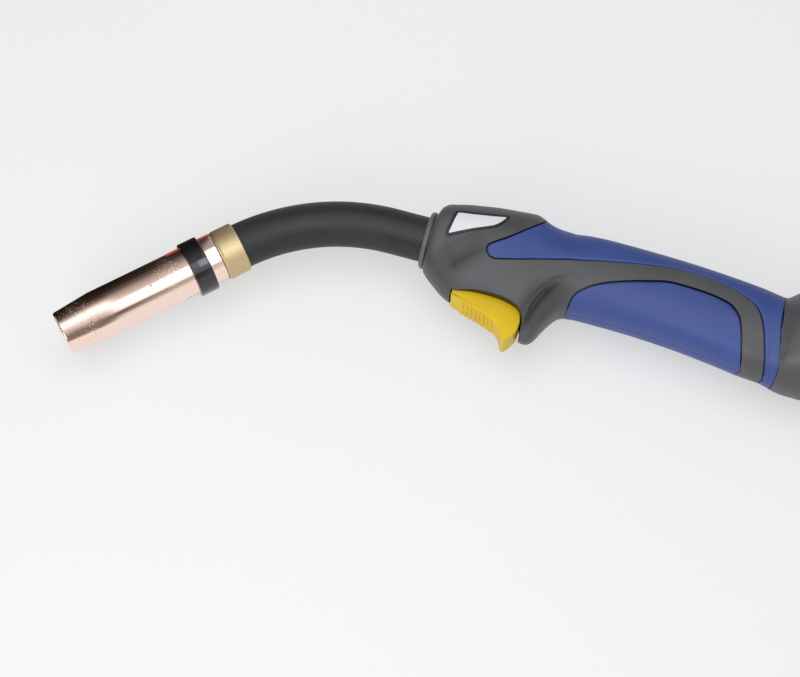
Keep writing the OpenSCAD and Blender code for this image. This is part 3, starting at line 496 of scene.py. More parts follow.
# ---- Handle form --------------------------------------------------------------------------------
# The handle is two hard dark grey shells with one outer form: a blunt head round the neck, a
# finger guard behind the trigger, a waisted grip and the round housing of the hose swivel.
SECTIONS = np.array([
    [5.8, 8.7, -21, 14, 2], [6.6, 11.2, -22.4, 14.8, 2.1], [8.5, 13, -24.2, 15.5, 2.2],
    [13, 14.6, -27.5, 16, 2.2], [18, 16.2, -30.9, 16.8, 2.2], [24, 17.6, -33.5, 17.3, 2.2],
    [32, 19.2, -34.6, 17.7, 2.3], [41, 20.6, -35.8, 17.9, 2.3], [50, 21.8, -38.2, 17.8, 2.3],
    [53, 21.2, -39.3, 17.7, 2.3], [57, 19.3, -40.8, 17.6, 2.3], [61, 18.3, -42.1, 17.5, 2.2],
    [64.6, 18, -42, 17.4, 2.2], [67.6, 18, -38.6, 17.3, 2.2], [71, 18.1, -30.8, 17.2, 2.2],
    [74.5, 18.4, -24.6, 17.1, 2.4], [79, 18.8, -21.6, 17.1, 2.6], [88, 19.5, -20.4, 17.3, 2.7],
    [110, 20.3, -19.5, 17.6, 2.7], [130, 20.4, -19.8, 17.8, 2.7], [148, 20, -21.2, 18, 2.6],
    [163, 19.1, -22.8, 18.3, 2.5], [171, 18.3, -23.4, 18.8, 2.3], [174, 18.4, -23.7, 19.4, 2.2],
    [176.5, 20.6, -24.2, 21, 2.1], [180, 23.8, -25, 23.6, 2], [185, 25.3, -25.2, 25.7, 2],
    [190, 25.6, -24.9, 26.4, 2], [196, 25.4, -24.7, 26.2, 2], [201, 24.8, -24.6, 25.2, 2],
    [204.5, 22, -22, 22.6, 2]])
WIDEST_Y = -1.0
SHELL_WALL, GRIP_T, PLATE_T, GROOVE_W = 3.2, 1.5, 0.8, 0.7
LAST = len(SECTIONS) - 1
rises = [SECTIONS[min(i + 1, LAST)] - SECTIONS[max(i - 1, 0)] for i in range(LAST + 1)]
slopes = np.array([rise / rise[0] for rise in rises])


def section_at(x):
    """Top, bottom, half width and squareness of the handle at x."""
    x = np.clip(np.asarray(x, float), SECTIONS[0, 0], SECTIONS[-1, 0])
    i = np.clip(np.searchsorted(SECTIONS[:, 0], x, side="right") - 1, 0, LAST - 1)
    d = SECTIONS[i + 1, 0] - SECTIONS[i, 0]
    t = ((x - SECTIONS[i, 0]) / d)[..., None]
    u, d = 1 - t, d[..., None]
    k = (SECTIONS[i] * u * u * (1 + 2 * t) + SECTIONS[i + 1] * t * t * (1 + 2 * u)
         + d * t * u * (slopes[i] * u - slopes[i + 1] * t))
    return k[..., 1], k[..., 2], k[..., 3], k[..., 4]


def skin(x, angle, inset=0.0, over=0.0):
    """Points of the left half of the handle's skin: 90 degrees is its top line, -90 its bottom."""
    x, angle, inset = np.broadcast_arrays(*(np.asarray(v, float) for v in (x, angle, inset)))
    top, low, half, square = section_at(x)
    p = 2 / square
    a = np.radians(angle)
    reach = np.where(angle > 0, top - WIDEST_Y, WIDEST_Y - low) - inset
    y = WIDEST_Y + reach * np.sign(a) * np.abs(np.sin(a)) ** p
    z = np.where(np.abs(angle) > 89.95, -over, (half - inset) * np.abs(np.cos(a)) ** p)
    return np.stack([x, y, z], -1)


def skin_angle(x, y):
    top, low, half, square = section_at(x)
    d = np.asarray(y, float) - WIDEST_Y
    reach = np.where(d > 0, top - WIDEST_Y, WIDEST_Y - low)
    return np.sign(d) * np.degrees(np.arcsin(np.minimum(np.abs(d) / reach, 1) ** (square / 2)))


def curved(a, b, c, d, t):
    """The point at share t between b and c on a smooth line through four points."""
    return 0.5 * (2 * b + (c - a) * t + (2 * a - 5 * b + 4 * c - d) * t ** 2
                  + (3 * b - a - 3 * c + d) * t ** 3)


def smooth_line(points, steps=4):
    points = [Vector(p) for p in points]
    last = len(points) - 1
    return [curved(points[max(i - 1, 0)], points[i], points[i + 1], points[min(i + 2, last)], k / steps)
            for i in range(last) for k in range(steps)] + [points[-1]]


# Ridges and hollows of the hard shells, as lines in the side view: the crest that curls round the
# finger guard with a scooped flank behind it, and the soft edge between the head's top and side
GUARD_CREST = [(62.5, -41.5), (61.6, -36), (62.6, -29), (65.4, -22), (69.6, -15.6), (74.6, -11.6),
               (81, -9.6)]
HEAD_RIDGE = [(35.5, -8.5), (29, -14.5), (22.5, -20.5), (17, -24.5)]
CREST_RISE, SCOOP_BEHIND, SCOOP_BEFORE, RIDGE_RISE = 1.1, 0.8, 0.7, 1.2
BEHIND_CREST, BEFORE_CREST, ABOVE_RIDGE, BELOW_RIDGE = (0, 7, 13), (0, 3.5, 9), 6, 11


def from_line(x, y, line):
    """Distance to a line in the side view, which side of it, and the share of its length."""
    line = np.array([tuple(p) for p in smooth_line(line, 6)])
    start, span = line[:-1], np.diff(line, axis=0)
    offset = np.stack([x, y], -1)[..., None, :] - start
    t = np.clip((offset * span).sum(-1) / (span ** 2).sum(-1), 0, 1)
    away = offset - t[..., None] * span
    best = np.linalg.norm(away, axis=-1).argmin(-1)[..., None]
    picked = np.take_along_axis(away, best[..., None], -2)[..., 0, :]
    turn = span[..., 0] * offset[..., 1] - span[..., 1] * offset[..., 0]
    side = np.sign(np.take_along_axis(turn, best, -1)[..., 0])
    share = (best[..., 0] + np.take_along_axis(t, best, -1)[..., 0]) / len(span)
    return np.linalg.norm(picked, axis=-1), side, share


def form(x, angle):
    """How far the shells' surface lies inside the plain skin, in millimetres."""
    y = skin(x, angle)[..., 1]
    away, side, share = from_line(x, y, GUARD_CREST)
    fade = np.clip(np.minimum(share * 5, (1 - share) * 2.2), 0, 1)
    crest = fade * np.where(side < 0, np.interp(away, BEHIND_CREST, [-CREST_RISE, SCOOP_BEHIND, 0]),
                            np.interp(away, BEFORE_CREST, [-CREST_RISE, SCOOP_BEFORE, 0]))
    away, side, share = from_line(x, y, HEAD_RIDGE)
    ends = np.clip(np.minimum(share * 4, (1 - share) * 3), 0, 1)
    ridge = np.clip(1 - away / np.where(side > 0, ABOVE_RIDGE, BELOW_RIDGE), 0, 1) * ends
    return crest - RIDGE_RISE * ridge


def formed_skin(x, angle):
    """Points of the left shell's own surface."""
    return skin(x, angle, form(x, angle))


def ringed(rings, name="cutter"):
    """A closed solid from rings of points of the model, with its two ends filled."""
    bm = bmesh.new()
    rings = [[bm.verts.new(p) for p in ring] for ring in rings]
    for ring, other in zip(rings, rings[1:]):
        for k in range(len(ring)):
            after = (k + 1) % len(ring)
            bm.faces.new((ring[k], ring[after], other[after], other[k]))
    bm.faces.new(rings[0][::-1])
    bm.faces.new(rings[-1])
    return as_mesh(bm, name)


def grid_mesh(name, grid):
    """A closed solid from a grid of points in the handle's frame."""
    return ringed((grid + np.array(LAID)) / 1000, name)


def mirrored(mesh):
    """Moves a mesh to the other side of the handle's middle plane."""
    mesh.transform(Matrix.Diagonal((1, 1, -1, 1)))
    mesh.transform(Matrix.Translation((0, 0, 2 * LAID.z / 1000)))
    mesh.flip_normals()


def both_sides(half):
    """Rings of a half section continued round the other side."""
    back = half[:, -2:0:-1] * np.array([1, 1, -1])
    return np.concatenate([half, back], 1)


# Stations and angles of the shells' skin, closer where the ridges run
fine_x = np.concatenate([np.linspace(a, b, max(2, int(b - a) + 1))
                         for a, b in zip(SECTIONS[:-1, 0], SECTIONS[1:, 0])])
fine_x = np.unique(np.concatenate([fine_x, np.arange(14, 40, 0.5), np.arange(57, 88, 0.35)]).round(4))
fine_angles = np.unique(np.concatenate([np.linspace(90, -90, 73), np.arange(-88, 0, 1.0)]))[::-1]


def band(edges, groove, spread):
    """Dense upper and lower edges of a piece of skin, as x and angle, moved inwards by groove."""
    sides = []
    for row in edges:
        x = np.array([p[0] for p in row], float)
        top, low = section_at(x)[:2]
        y = np.clip([p[1] for p in row], low, top)
        t = np.linspace(0, len(x) - 1, (len(x) - 1) * spread + 1)
        i = np.minimum(t.astype(int), len(x) - 2)
        near = [np.maximum(i - 1, 0), i, i + 1, np.minimum(i + 2, len(x) - 1)]
        along, height = (curved(*(v[j] for j in near), t - i) for v in (x, y))
        middle = (y >= top) | (y <= low)
        on_middle = middle[i] & middle[i + 1]
        sides.append([along, np.where(on_middle, np.sign(y[i]) * 90, skin_angle(along, height))])
    ring_x = np.concatenate([sides[0][0], sides[1][0][::-1]])
    ring_a = np.concatenate([sides[0][1], sides[1][1][::-1]])
    more, less = np.clip(ring_a + 1, -89, 89), np.clip(ring_a - 1, -89, 89)
    per_degree = np.linalg.norm(skin(ring_x, more) - skin(ring_x, less), axis=1)
    per_degree = np.maximum(per_degree / np.maximum(more - less, 0.1), 1e-9)
    step_x = np.roll(ring_x, -1) - np.roll(ring_x, 1)
    step_s = (np.roll(ring_a, -1) - np.roll(ring_a, 1)) * per_degree
    length = np.maximum(np.hypot(step_x, step_s), 1e-6)
    middle = np.abs(ring_a) > 89.9
    moved_x = ring_x + groove * step_s / length
    moved_a = np.where(middle, ring_a, ring_a - groove * step_x / length / per_degree)
    n = len(ring_x) // 2
    return (moved_x[:n], moved_a[:n]), (moved_x[n:][::-1], moved_a[n:][::-1])


MID_TOP, MID_LOW = 99, -99
UPPER_GRIP = (
    [(33.1, -9.2), (33.8, -6.8), (36.3, -4.3), (40.3, -1.1), (44.3, 2.7), (48.6, 7.3),
     (50.5, 9.4), (52.3, 11.7), (53.6, 13.5), (54.4, 14.9), (54.9, 16.3), (55.4, 17.7),
     (55.9, 18.8), (56.3, 19.3)] + [(x, MID_TOP) for x in (
         57.4, 59.4, 62, 66, 80, 96, 112, 124, 134, 144, 150, 155, 158.6, 161.4, 163.6, 165.4, 166.8,
         168, 169, 170, 172.6)],
    [(33.9, -11.3), (35.5, -13), (38.8, -13.6), (45.3, -11.7), (51.3, -9.7), (56.2, -7.9),
     (58.7, -7), (61.2, -6.2), (62.4, -5.7), (63.7, -5.3), (65, -4.8), (66.2, -4.4), (68.7, -3.5),
     (69.9, -3.1), (71.1, -2.7), (73.3, -2), (75.9, -1.4), (79.2, -0.3), (90.2, 2.8),
     (102.3, 6.1), (114.1, 8.8), (124.1, 10.4), (133.2, 10.7), (142.1, 9.8), (149.2, 8.2),
     (155.1, 6), (159.5, 3.5), (162.6, -0.2), (164.9, -5), (166.5, -8.9), (167.8, -12.8),
     (170.1, -18.2), (171.5, -21.2), (173.3, MID_LOW), (178.6, MID_LOW)])
LOWER_GRIP = (
    [(77.8, -20), (79, -16.6), (83.6, -12), (91.1, -7.5), (100.3, -3.6), (110, -0.1),
     (118.9, 2.5), (128.9, 3), (139.9, 2.6), (148.9, 0.7), (153.7, -3.3), (155.6, -6.4),
     (157, -10), (158.2, -13.2), (159.3, -16.5), (161.3, -21)],
    [(x, MID_LOW) for x in (
        77.6, 80, 85, 92, 101, 110, 119, 129, 139, 147, 152, 154, 156, 158, 160, 162.8)])
PLATE = (
    [(13.4, 4.6), (14.8, 6.2), (20.2, 7.1), (25.5, 8.2), (30.3, 9.2), (34.5, 10.3), (36.7, 10.9),
     (38.2, 10.9)],
    [(12.5, -6.9), (14.1, -8.4), (19.8, -5.5), (25, -2.6), (30.3, 0.1), (34.1, 2.3), (36.8, 5.4),
     (38.7, 9.2)])


def between(first, last, share):
    return first[:, None] + (last - first)[:, None] * share


def across_skin(first, last, share, bowed):
    """Rows of x and angle between two edges. Bowed rows stay on the first edge's x to near the
    widest height and then run over to the last edge's."""
    (x0, a0), (x1, a1) = first, last
    share = np.broadcast_to(share, (len(x0), np.shape(share)[-1]))
    t = np.clip((share - 0.4) / 0.52, 0, 1)
    return between(x0, x1, t * t * (3 - 2 * t) if bowed else share), between(a0, a1, share)


def pocket(edges, groove, depth, spread=5):
    """A closed cutter through a piece of the skin, from outside it to depth."""
    x, a = across_skin(*band(edges, groove, spread), np.linspace(0, 1, 33), edges is UPPER_GRIP)
    ring = np.concatenate([skin(x, a, -1.5, 1.0), skin(x[:, ::-1], a[:, ::-1], depth, 1.0)], 1)
    return grid_mesh("cutter", ring)


def lathe_cut(profile, x, y, degrees=0.0, steps=96):
    """A closed cutter turned about an axis in the middle plane, from (radius, distance)."""
    matrix = side_frame(x, y, turned((1, 0), degrees))
    return ringed([[matrix @ Vector((*p, s)) for p in round_places(r, steps)] for r, s in profile])


def split_caps(mesh):
    """Cuts a mesh's many-sided end faces into triangles."""
    bm = bmesh.new()
    bm.from_mesh(mesh)
    bmesh.ops.triangulate(bm, faces=[f for f in bm.faces if len(f.verts) > 4])
    bmesh.ops.recalc_face_normals(bm, faces=bm.faces)
    bm.to_mesh(mesh)
    bm.free()


def prism_cut(outline, low_z, high_z):
    """A closed cutter with an outline in the side view."""
    bm = bmesh.new()
    low, high = ([bm.verts.new(place(x, y, z)) for x, y in outline] for z in (low_z, high_z))
    n = len(outline)
    for k in range(n):
        bm.faces.new((low[k], low[(k + 1) % n], high[(k + 1) % n], high[k]))
    bm.faces.new(low)
    bm.faces.new(high)
    bmesh.ops.triangulate(bm, faces=[f for f in bm.faces if len(f.verts) > 4])
    return as_mesh(bm)


def values_of(items, name, width, kind=np.float32):
    """One property of a mesh's items as an array with width columns."""
    out = np.empty(len(items) * width, kind)
    items.foreach_get(name, out)
    return out.reshape(-1, width)


# Painted shade: between these stations the shell's colour darkens in its grooves and wells
GROOVE_SHADE_FROM, GROOVE_SHADE_TO = 7, 182


def skin_normals(mesh, side, limit=0.88):
    """Shades what lies on the handle's skin by the skin's own direction, so that the cuts in it leave no
    dents in the gloss, and marks how deep below it a point lies in a groove, for the painted shade that
    darkens the shell's colour there."""
    p = values_of(mesh.vertices, "co", 3) * 1000 - np.array(LAID)
    p[:, 2] *= side
    x = np.clip(p[:, 0], SECTIONS[0, 0] + 0.1, SECTIONS[-1, 0] - 0.1)
    top, low, half, square = section_at(x)
    u = (p[:, 1] - WIDEST_Y) / np.where(p[:, 1] > WIDEST_Y, top - WIDEST_Y, WIDEST_Y - low)
    v = np.maximum(p[:, 2] / half, 0)
    a = np.sign(u) * np.degrees(np.arctan2(np.abs(u) ** (square / 2), v ** (square / 2)))
    a = np.clip(a, -89.8, 89.8)
    e, turn = 0.06, 0.15
    g = np.cross(formed_skin(x, a + turn) - formed_skin(x, a - turn),
                 formed_skin(x + e, a) - formed_skin(x - e, a))
    g /= np.maximum(np.linalg.norm(g, axis=1, keepdims=True), 1e-9)
    g *= np.where((g[:, 1] * u + g[:, 2] * v) < 0, -1, 1)[:, None]
    g[:, 2] *= side
    below = np.linalg.norm(p - formed_skin(x, a), axis=1)
    corner_vert = values_of(mesh.loops, "vertex_index", 1, np.int32)[:, 0]
    own = values_of(mesh.corner_normals, "vector", 3)
    face_of = np.repeat(np.arange(len(mesh.polygons)), [f.loop_total for f in mesh.polygons])
    flat = values_of(mesh.polygons, "normal", 3)[face_of]
    wanted = g[corner_vert]
    use = (below < 0.2)[corner_vert] & ((wanted * flat).sum(1) > limit)
    mesh.normals_split_custom_set(np.where(use[:, None], wanted, own).tolist())
    # Painted shade: depth below the skin, which darkens the shell's colour towards near black
    groove = mesh.attributes.new("groove", "FLOAT", "POINT")
    inside = np.where((x > GROOVE_SHADE_FROM) & (x < GROOVE_SHADE_TO), np.clip((below - 0.1) / 1.2, 0, 1), 0)
    groove.data.foreach_set("value", inside.astype(np.float32))


# The trigger's opening, and the room in which the trigger and its spring move
SLOT_FROM, HOOK_X, SLOT_HALF, TRIGGER_TOP, BELOW = 23.3, 60.4, 7.9, -22.6, -60
opening = [(SLOT_FROM, BELOW)] + [tuple(p) for p in smooth_line(
    [(SLOT_FROM, -31.4), (29.7, -29.6), (36.3, -28.5), (46.6, -28.3), (53.9, -29.7), (57.8, -32.2),
     (HOOK_X - 0.6, -36), (HOOK_X, -41.6)])] + [(HOOK_X, BELOW)]
SCREWS = [(16, -20.5), (40, 14.5), (69, -21), (164, -15.5)]
WELL_R, WELL_FLOOR = 3.5, -9.5
HOLLOW_FROM, HOLLOW_TO, HOLLOW_FLOOR = 21, 176, -24
SWIVEL_X, BALL_R, SPIGOT_R, TILT = 191.5, 21.0, 12.5, math.radians(15)
SEAT_R, SEAT_HALF, SEAT_MOUTH_R, SEAT_OUTER_R = BALL_R + 0.3, 9.3, 18.5, 23.4
COLLAR_BORE, COLLAR_R, COLLAR_END = NECK_R + 0.05, 12.2, 13
throat_r = SPIGOT_R / math.cos(TILT) + (SECTIONS[-1, 0] - SWIVEL_X) * math.tan(TILT) + 0.5

shell_plastic, shell_tree, shell_shader = new_material("dark grey moulding")
shell_grain = with_grain(shell_tree, shell_shader, 2600.0, 55.0, 0.28, 0.00007)
shell_tone = two_tones(shell_tree, shell_grain.outputs["Patches"], (0.053, 0.054, 0.057),
                       (0.069, 0.070, 0.074))
# Painted shade: the shell's colour goes near black at the bottom of its grooves, pockets and wells
shell_depth = wired(shell_tree, "ShaderNodeAttribute", {}, attribute_name="groove")
shell_groove_shade = ranged(shell_tree, shell_depth.outputs["Fac"], 0.0, 0.3)
shell_tree.links.new(two_tones(shell_tree, shell_groove_shade, shell_tone, (0.004, 0.004, 0.005)),
                     shell_shader.inputs["Base Color"])
roughness_from(shell_tree, shell_shader, shell_grain.outputs["Patches"], 0.36, 0.5)


def shell(name, side):
    x, angle = fine_x[:, None] + 0 * fine_angles, fine_angles + 0 * fine_x[:, None]
    half = formed_skin(x, angle)
    half[:, 0, 2] = half[:, -1, 2] = 0
    mesh = grid_mesh(name, half)
    if side < 0:
        mirrored(mesh)
    piece = shown(name, mesh)
    hollow_x = np.linspace(HOLLOW_FROM, HOLLOW_TO, 60)
    hollow = skin(hollow_x[:, None], np.linspace(90, -90, 25)[None, :], SHELL_WALL)
    hollow[:, 0, 2] = hollow[:, -1, 2] = 0
    hollow[..., 1] = np.maximum(hollow[..., 1], HOLLOW_FLOOR)
    cutters = [pocket(UPPER_GRIP, 0, GRIP_T), pocket(LOWER_GRIP, 0, GRIP_T)]
    if side > 0:
        cutters.append(pocket(PLATE, -0.2, PLATE_T + 0.05))
    else:
        for tool in cutters:
            mirrored(tool)
    seat = [(SEAT_R * math.sin(t), -SEAT_R * math.cos(t)) for t in np.radians([12, 24, 36])]
    cutters += [
        grid_mesh("cutter", both_sides(hollow)),
        prism_cut([(SLOT_FROM, BELOW), (SLOT_FROM, TRIGGER_TOP + 2.4), (HOOK_X, TRIGGER_TOP + 2.4),
                   (HOOK_X, BELOW)], -SLOT_HALF, SLOT_HALF),
        prism_cut(opening, -40, 40),
        lathe_cut([(COLLAR_R + 0.05, -5), (COLLAR_R + 0.05, COLLAR_END + 0.2),
                   (COLLAR_BORE, COLLAR_END + 0.2), (COLLAR_BORE, 23)], 0, NECK_Y, NECK_TILT),
        lathe_cut([(0.01, -SEAT_R)] + seat + [
            (SEAT_MOUTH_R, -SEAT_HALF), (SEAT_OUTER_R, -SEAT_HALF), (SEAT_OUTER_R, SEAT_HALF),
            (throat_r, SEAT_HALF), (throat_r, 40)], SWIVEL_X, 0)]
    if side < 0:
        cutters += [prism_cut([(x + u, y + v) for u, v in round_places(WELL_R, 40)], -40, WELL_FLOOR)
                    for x, y in SCREWS]
    carve(piece, cutters, shell_plastic, 30)
    skin_normals(piece.data, side)
    put(piece, "handle", "dark_grey_plastic", "handle_left" if side > 0 else "handle_right")


shell("left_handle_shell", 1)
shell("right_handle_shell", -1)

# ---- Head collar ----------------------------------------------------------------------------------
# A dark plastic collar clips into the front of both shells and guides the rubber sleeve.
collar_plastic = moulded("collar moulding", (0.085, 0.086, 0.088), (0.108, 0.109, 0.112), 0.45,
                         2600, 55, 0.25)
collar = revolved("neck_head_collar", softened(
    [(COLLAR_BORE, 2.4), (12.6, 2.4), (13.6, 2.8), (14.0, 3.4), (14.0, 4.9), (COLLAR_R, 4.9),
     (COLLAR_R, COLLAR_END), (COLLAR_BORE, COLLAR_END)], 0.4),
    side_frame(0, NECK_Y, turned((1, 0), NECK_TILT)))
collar.data.materials.append(collar_plastic)
put(collar, "handle", "dark_grey_plastic", "neck_collar")

# ---- Soft grips -----------------------------------------------------------------------------------
# Blue soft plastic is moulded into shallow pockets of both shells. Its edges are rounded over a
# narrow groove. It has a satin skin with a few fine scratches from use.
blue, blue_tree, blue_shader = new_material("blue soft grip", Specular_IOR_Level=0.45)
blue_grain = with_grain(blue_tree, blue_shader, 2400.0, 40.0, 0.22, 0.00006)
blue_base = two_tones(blue_tree, blue_grain.outputs["Patches"], (0.025, 0.053, 0.215),
                      (0.033, 0.066, 0.255))
scratch_at = object_place(blue_tree)
scratch_bend = noise(blue_tree, scratch_at, 60.0)
scratch_path = wired(blue_tree, "ShaderNodeMix", {
    0: 0.012, 4: scratch_at, 5: scratch_bend.outputs["Color"]}, data_type="VECTOR")
scratch_edge = wired(blue_tree, "ShaderNodeTexVoronoi", {
    "Vector": scratch_path.outputs[1], "Scale": 34.0}, feature="DISTANCE_TO_EDGE")
scratch_thin = ranged(blue_tree, scratch_edge, 0.0, 0.008, 1.0, 0.0)
scratch_kept = ranged(blue_tree, noise(blue_tree, scratch_at, 42.0), 0.60, 0.68, 0.0, 0.5)
scratch_line = maths(blue_tree, "MULTIPLY", scratch_thin, scratch_kept)
blue_tree.links.new(two_tones(blue_tree, scratch_line, blue_base, (0.16, 0.20, 0.42)),
                    blue_shader.inputs["Base Color"])
roughness_from(blue_tree, blue_shader, blue_grain.outputs["Patches"], 0.40, 0.54)


def grip(name, edges, side, node, roll=0.75, spread=6, rows=34):
    """A soft grip as a closed pad whose edges roll over by roll, on one side of the handle."""
    (x0, a0), (x1, a1) = band(edges, GROOVE_W, spread)
    even = np.linspace(0, 1, 21)
    across = np.diff(skin(between(x0, x1, even), between(a0, a1, even)), axis=1)
    across = np.linalg.norm(across, axis=2).sum(1)
    arc = np.array([1 - math.cos(t) for t in np.linspace(0, math.pi / 2, 6)]) * roll
    near = arc[None, :] / across[:, None]
    inner = np.linspace(0, 1, rows)[1:-1]
    f = np.concatenate([near, near[:, -1:] + (1 - 2 * near[:, -1:]) * inner, 1 - near[:, ::-1]], 1)
    x, a = across_skin((x0, a0), (x1, a1), f, edges is UPPER_GRIP)
    # Stations are packed closely at the two ends, for the roll along them
    surface = skin(x, a)
    along = np.concatenate([[0], np.cumsum(np.linalg.norm(np.diff(surface[:, rows // 2], axis=0), axis=1))])
    wanted = np.concatenate([arc, np.linspace(roll, along[-1] - roll, len(along))[1:-1],
                             along[-1] - arc[::-1]])
    x, a, f = (np.array([np.interp(wanted, along, column) for column in v.T]).T for v in (x, a, f))
    across = np.interp(wanted, along, across)

    def drop(distance, reach):
        d = np.clip(distance, 0, reach)
        return reach - np.sqrt(np.maximum(reach ** 2 - (reach - d) ** 2, 0))

    at_top = np.abs(a[:, :1]) > 89.9
    at_low = np.abs(a[:, -1:]) > 89.9
    inset = np.maximum.reduce([
        drop(f * across[:, None], roll) * np.where(at_top, 0.25, 1),
        drop((1 - f) * across[:, None], roll) * np.where(at_low, 0.25, 1),
        drop(wanted[:, None] + 0 * f, roll), drop(along[-1] - wanted[:, None] + 0 * f, roll)])
    outer = skin(x, a, inset)
    inside = skin(x[:, ::-1], a[:, ::-1], GRIP_T - 0.2)
    mesh = grid_mesh(name, np.concatenate([outer, inside], 1))
    if side < 0:
        mirrored(mesh)
    split_caps(mesh)
    soft_shaded(mesh, 40)
    piece = shown(name, mesh)
    mesh.materials.append(blue)
    put(piece, "handle", "blue_soft_grip", node)


grip("upper_soft_grip_left", UPPER_GRIP, 1, "upper_grip_left")
grip("upper_soft_grip_right", UPPER_GRIP, -1, "upper_grip_right")
grip("lower_soft_grip_left", LOWER_GRIP, 1, "lower_grip_left")
grip("lower_soft_grip_right", LOWER_GRIP, -1, "lower_grip_right")

# ---- Rating plate -----------------------------------------------------------------------------------
# A thin white plastic plate with a black border along its edge sits in a recess of the left shell.
plate_white, plate_tree, plate_shader = new_material("plate white with black rim", Roughness=0.35)
plate_rim = wired(plate_tree, "ShaderNodeAttribute", {}, attribute_name="rim")
plate_edge = ranged(plate_tree, plate_rim.outputs["Fac"], 1.3, 1.45)
plate_tree.links.new(two_tones(plate_tree, plate_edge, (0.012, 0.012, 0.013), (0.72, 0.73, 0.74)),
                     plate_shader.inputs["Base Color"])
(px0, pa0), (px1, pa1) = band(PLATE, 0.0, 8)
PLATE_STEPS = 33
pf = np.linspace(0, 1, PLATE_STEPS)
plate_x, plate_a = between(px0, px1, pf), between(pa0, pa1, pf)
plate_top = skin(plate_x, plate_a)
plate_mesh = grid_mesh("blank_rating_plate", np.concatenate(
    [plate_top, skin(plate_x[:, ::-1], plate_a[:, ::-1], PLATE_T)], 1))
outline = np.concatenate([plate_top[:, 0], plate_top[-1, 1:-1], plate_top[::-1, -1], plate_top[0, -2:0:-1]])
plate_points = np.array([v.co for v in plate_mesh.vertices]) * 1000 - np.array(LAID)
span = np.roll(outline, -1, 0) - outline
reach = np.maximum((span ** 2).sum(1), 1e-9)
t = np.clip(((plate_points[:, None] - outline) * span).sum(2) / reach, 0, 1)
distance = np.linalg.norm(plate_points[:, None] - (outline + t[..., None] * span), axis=2).min(1)
on_top = np.arange(len(distance)) % (2 * PLATE_STEPS) < PLATE_STEPS
rim = plate_mesh.attributes.new("rim", "FLOAT", "POINT")
rim.data.foreach_set("value", np.where(on_top, distance, 0).astype(np.float32))
soft_shaded(plate_mesh, 40)
plate = shown("blank_rating_plate", plate_mesh)
plate_mesh.materials.append(plate_white)
put(plate, "handle", "plate_white", "rating_plate")

# ---- Trigger ----------------------------------------------------------------------------------------
# A yellow moulded lever with a curled lip hangs on a pin in the head. Its front face is ribbed, and
# its long edges are rounded.
yellow = moulded("yellow moulding", (0.63, 0.425, 0.004), (0.70, 0.485, 0.0065), (0.32, 0.44),
                 2200.0, 80.0, 0.15, Specular_IOR_Level=0.22)
TRIGGER_HALF = 7.5
FACE = [(24, -32.8), (31, -35), (38.8, -36.8), (46.5, -39.1)]
BACK_X, HEAD_X, HEAD_Y = 56.4, 33, -24.4
LIP = [FACE[-1], (50, -41.4), (52.2, -44.4), (53.6, -46.9), (55, -47.2), (57, -44.6),
       (58.8, -40.8), (59.1, -36.5), (58.3, -33), (56.8, -30)]
trigger_line = smooth_line(FACE, 12)[:-1] + smooth_line(LIP, 5)
trigger_line += smooth_line([LIP[-1], (BACK_X, TRIGGER_TOP)], 6)[1:]
trigger_line += smooth_line([(BACK_X, TRIGGER_TOP), (HEAD_X, TRIGGER_TOP)], 16)[1:]
trigger_line += [Vector(p) for p in ((31, -21.4), (28, -20.6), (25.2, -21.6), (FACE[0][0], HEAD_Y))]
trigger_line += smooth_line([(FACE[0][0], HEAD_Y), FACE[0]], 5)[1:-1]
trigger_xy = np.array([tuple(p) for p in trigger_line])


def inward(line, by):
    way = np.roll(line, -1, 0) - np.roll(line, 1, 0)
    way /= np.linalg.norm(way, axis=1, keepdims=True)
    return line + by * np.stack([-way[:, 1], way[:, 0]], 1)


edge = 0.6
layers = [(-TRIGGER_HALF + edge * (1 - math.cos(t)), edge * (1 - math.sin(t)))
          for t in np.linspace(0, math.pi / 2, 6)]
layers += [(z, 0) for z in np.linspace(-TRIGGER_HALF + edge, TRIGGER_HALF - edge, 14)[1:-1]]
layers += [(-z, by) for z, by in layers[5::-1]]
trigger_rings = np.stack([np.column_stack([inward(trigger_xy, by), np.full(len(trigger_xy), z)])
                          for z, by in layers])
trigger_mesh = grid_mesh("trigger_lever", trigger_rings)
split_caps(trigger_mesh)
trigger = shown("trigger_lever", trigger_mesh)
pin_hole = [(PIN_X + u, PIN_Y + v) for u, v in round_places(PIN_R + 0.05, 32)]
carve(trigger, [prism_cut(pin_hole, -10, 10)], yellow, 35)
put(trigger, "trigger", "yellow_plastic", "trigger")


def point_object(name, points):
    """Loose points, for a geometry tree to place things on."""
    mesh = bpy.data.meshes.new(name)
    mesh.from_pydata(points, [], [])
    return shown(name, mesh)


# The ribs: rounded bars set across the face at even steps
RIBS, RIB_FROM, RIB_TO, RIB_R, RIB_LEN = 8, 30.5, 46.0, 0.85, 13.4
rib_line = np.array([tuple(p) for p in smooth_line(FACE, 12)])
rib_source = point_object("rib places", [
    place(x, float(np.interp(x, *rib_line.T)) + 0.2) for x in np.linspace(RIB_FROM, RIB_TO, RIBS)])
rib_tree, rib_in = tree_with("bars on points", [
    ("Radius", "NodeSocketFloat"), ("Length", "NodeSocketFloat"), ("Material", "NodeSocketMaterial")])
rib_bar = wired(rib_tree, "GeometryNodeMeshCylinder", {
    "Vertices": 20, "Radius": rib_in.outputs["Radius"], "Depth": rib_in.outputs["Length"]})
rib_set = wired(rib_tree, "GeometryNodeInstanceOnPoints", {"Points": rib_in, "Instance": rib_bar})
ended(rib_tree, rib_in, rib_set)
ribs = grown("trigger_face_ribs", rib_source, rib_tree, {
    "Radius": RIB_R / 1000, "Length": RIB_LEN / 1000, "Material": yellow})
soft_shaded(ribs.data, 40)
put(ribs, "trigger", "yellow_plastic")

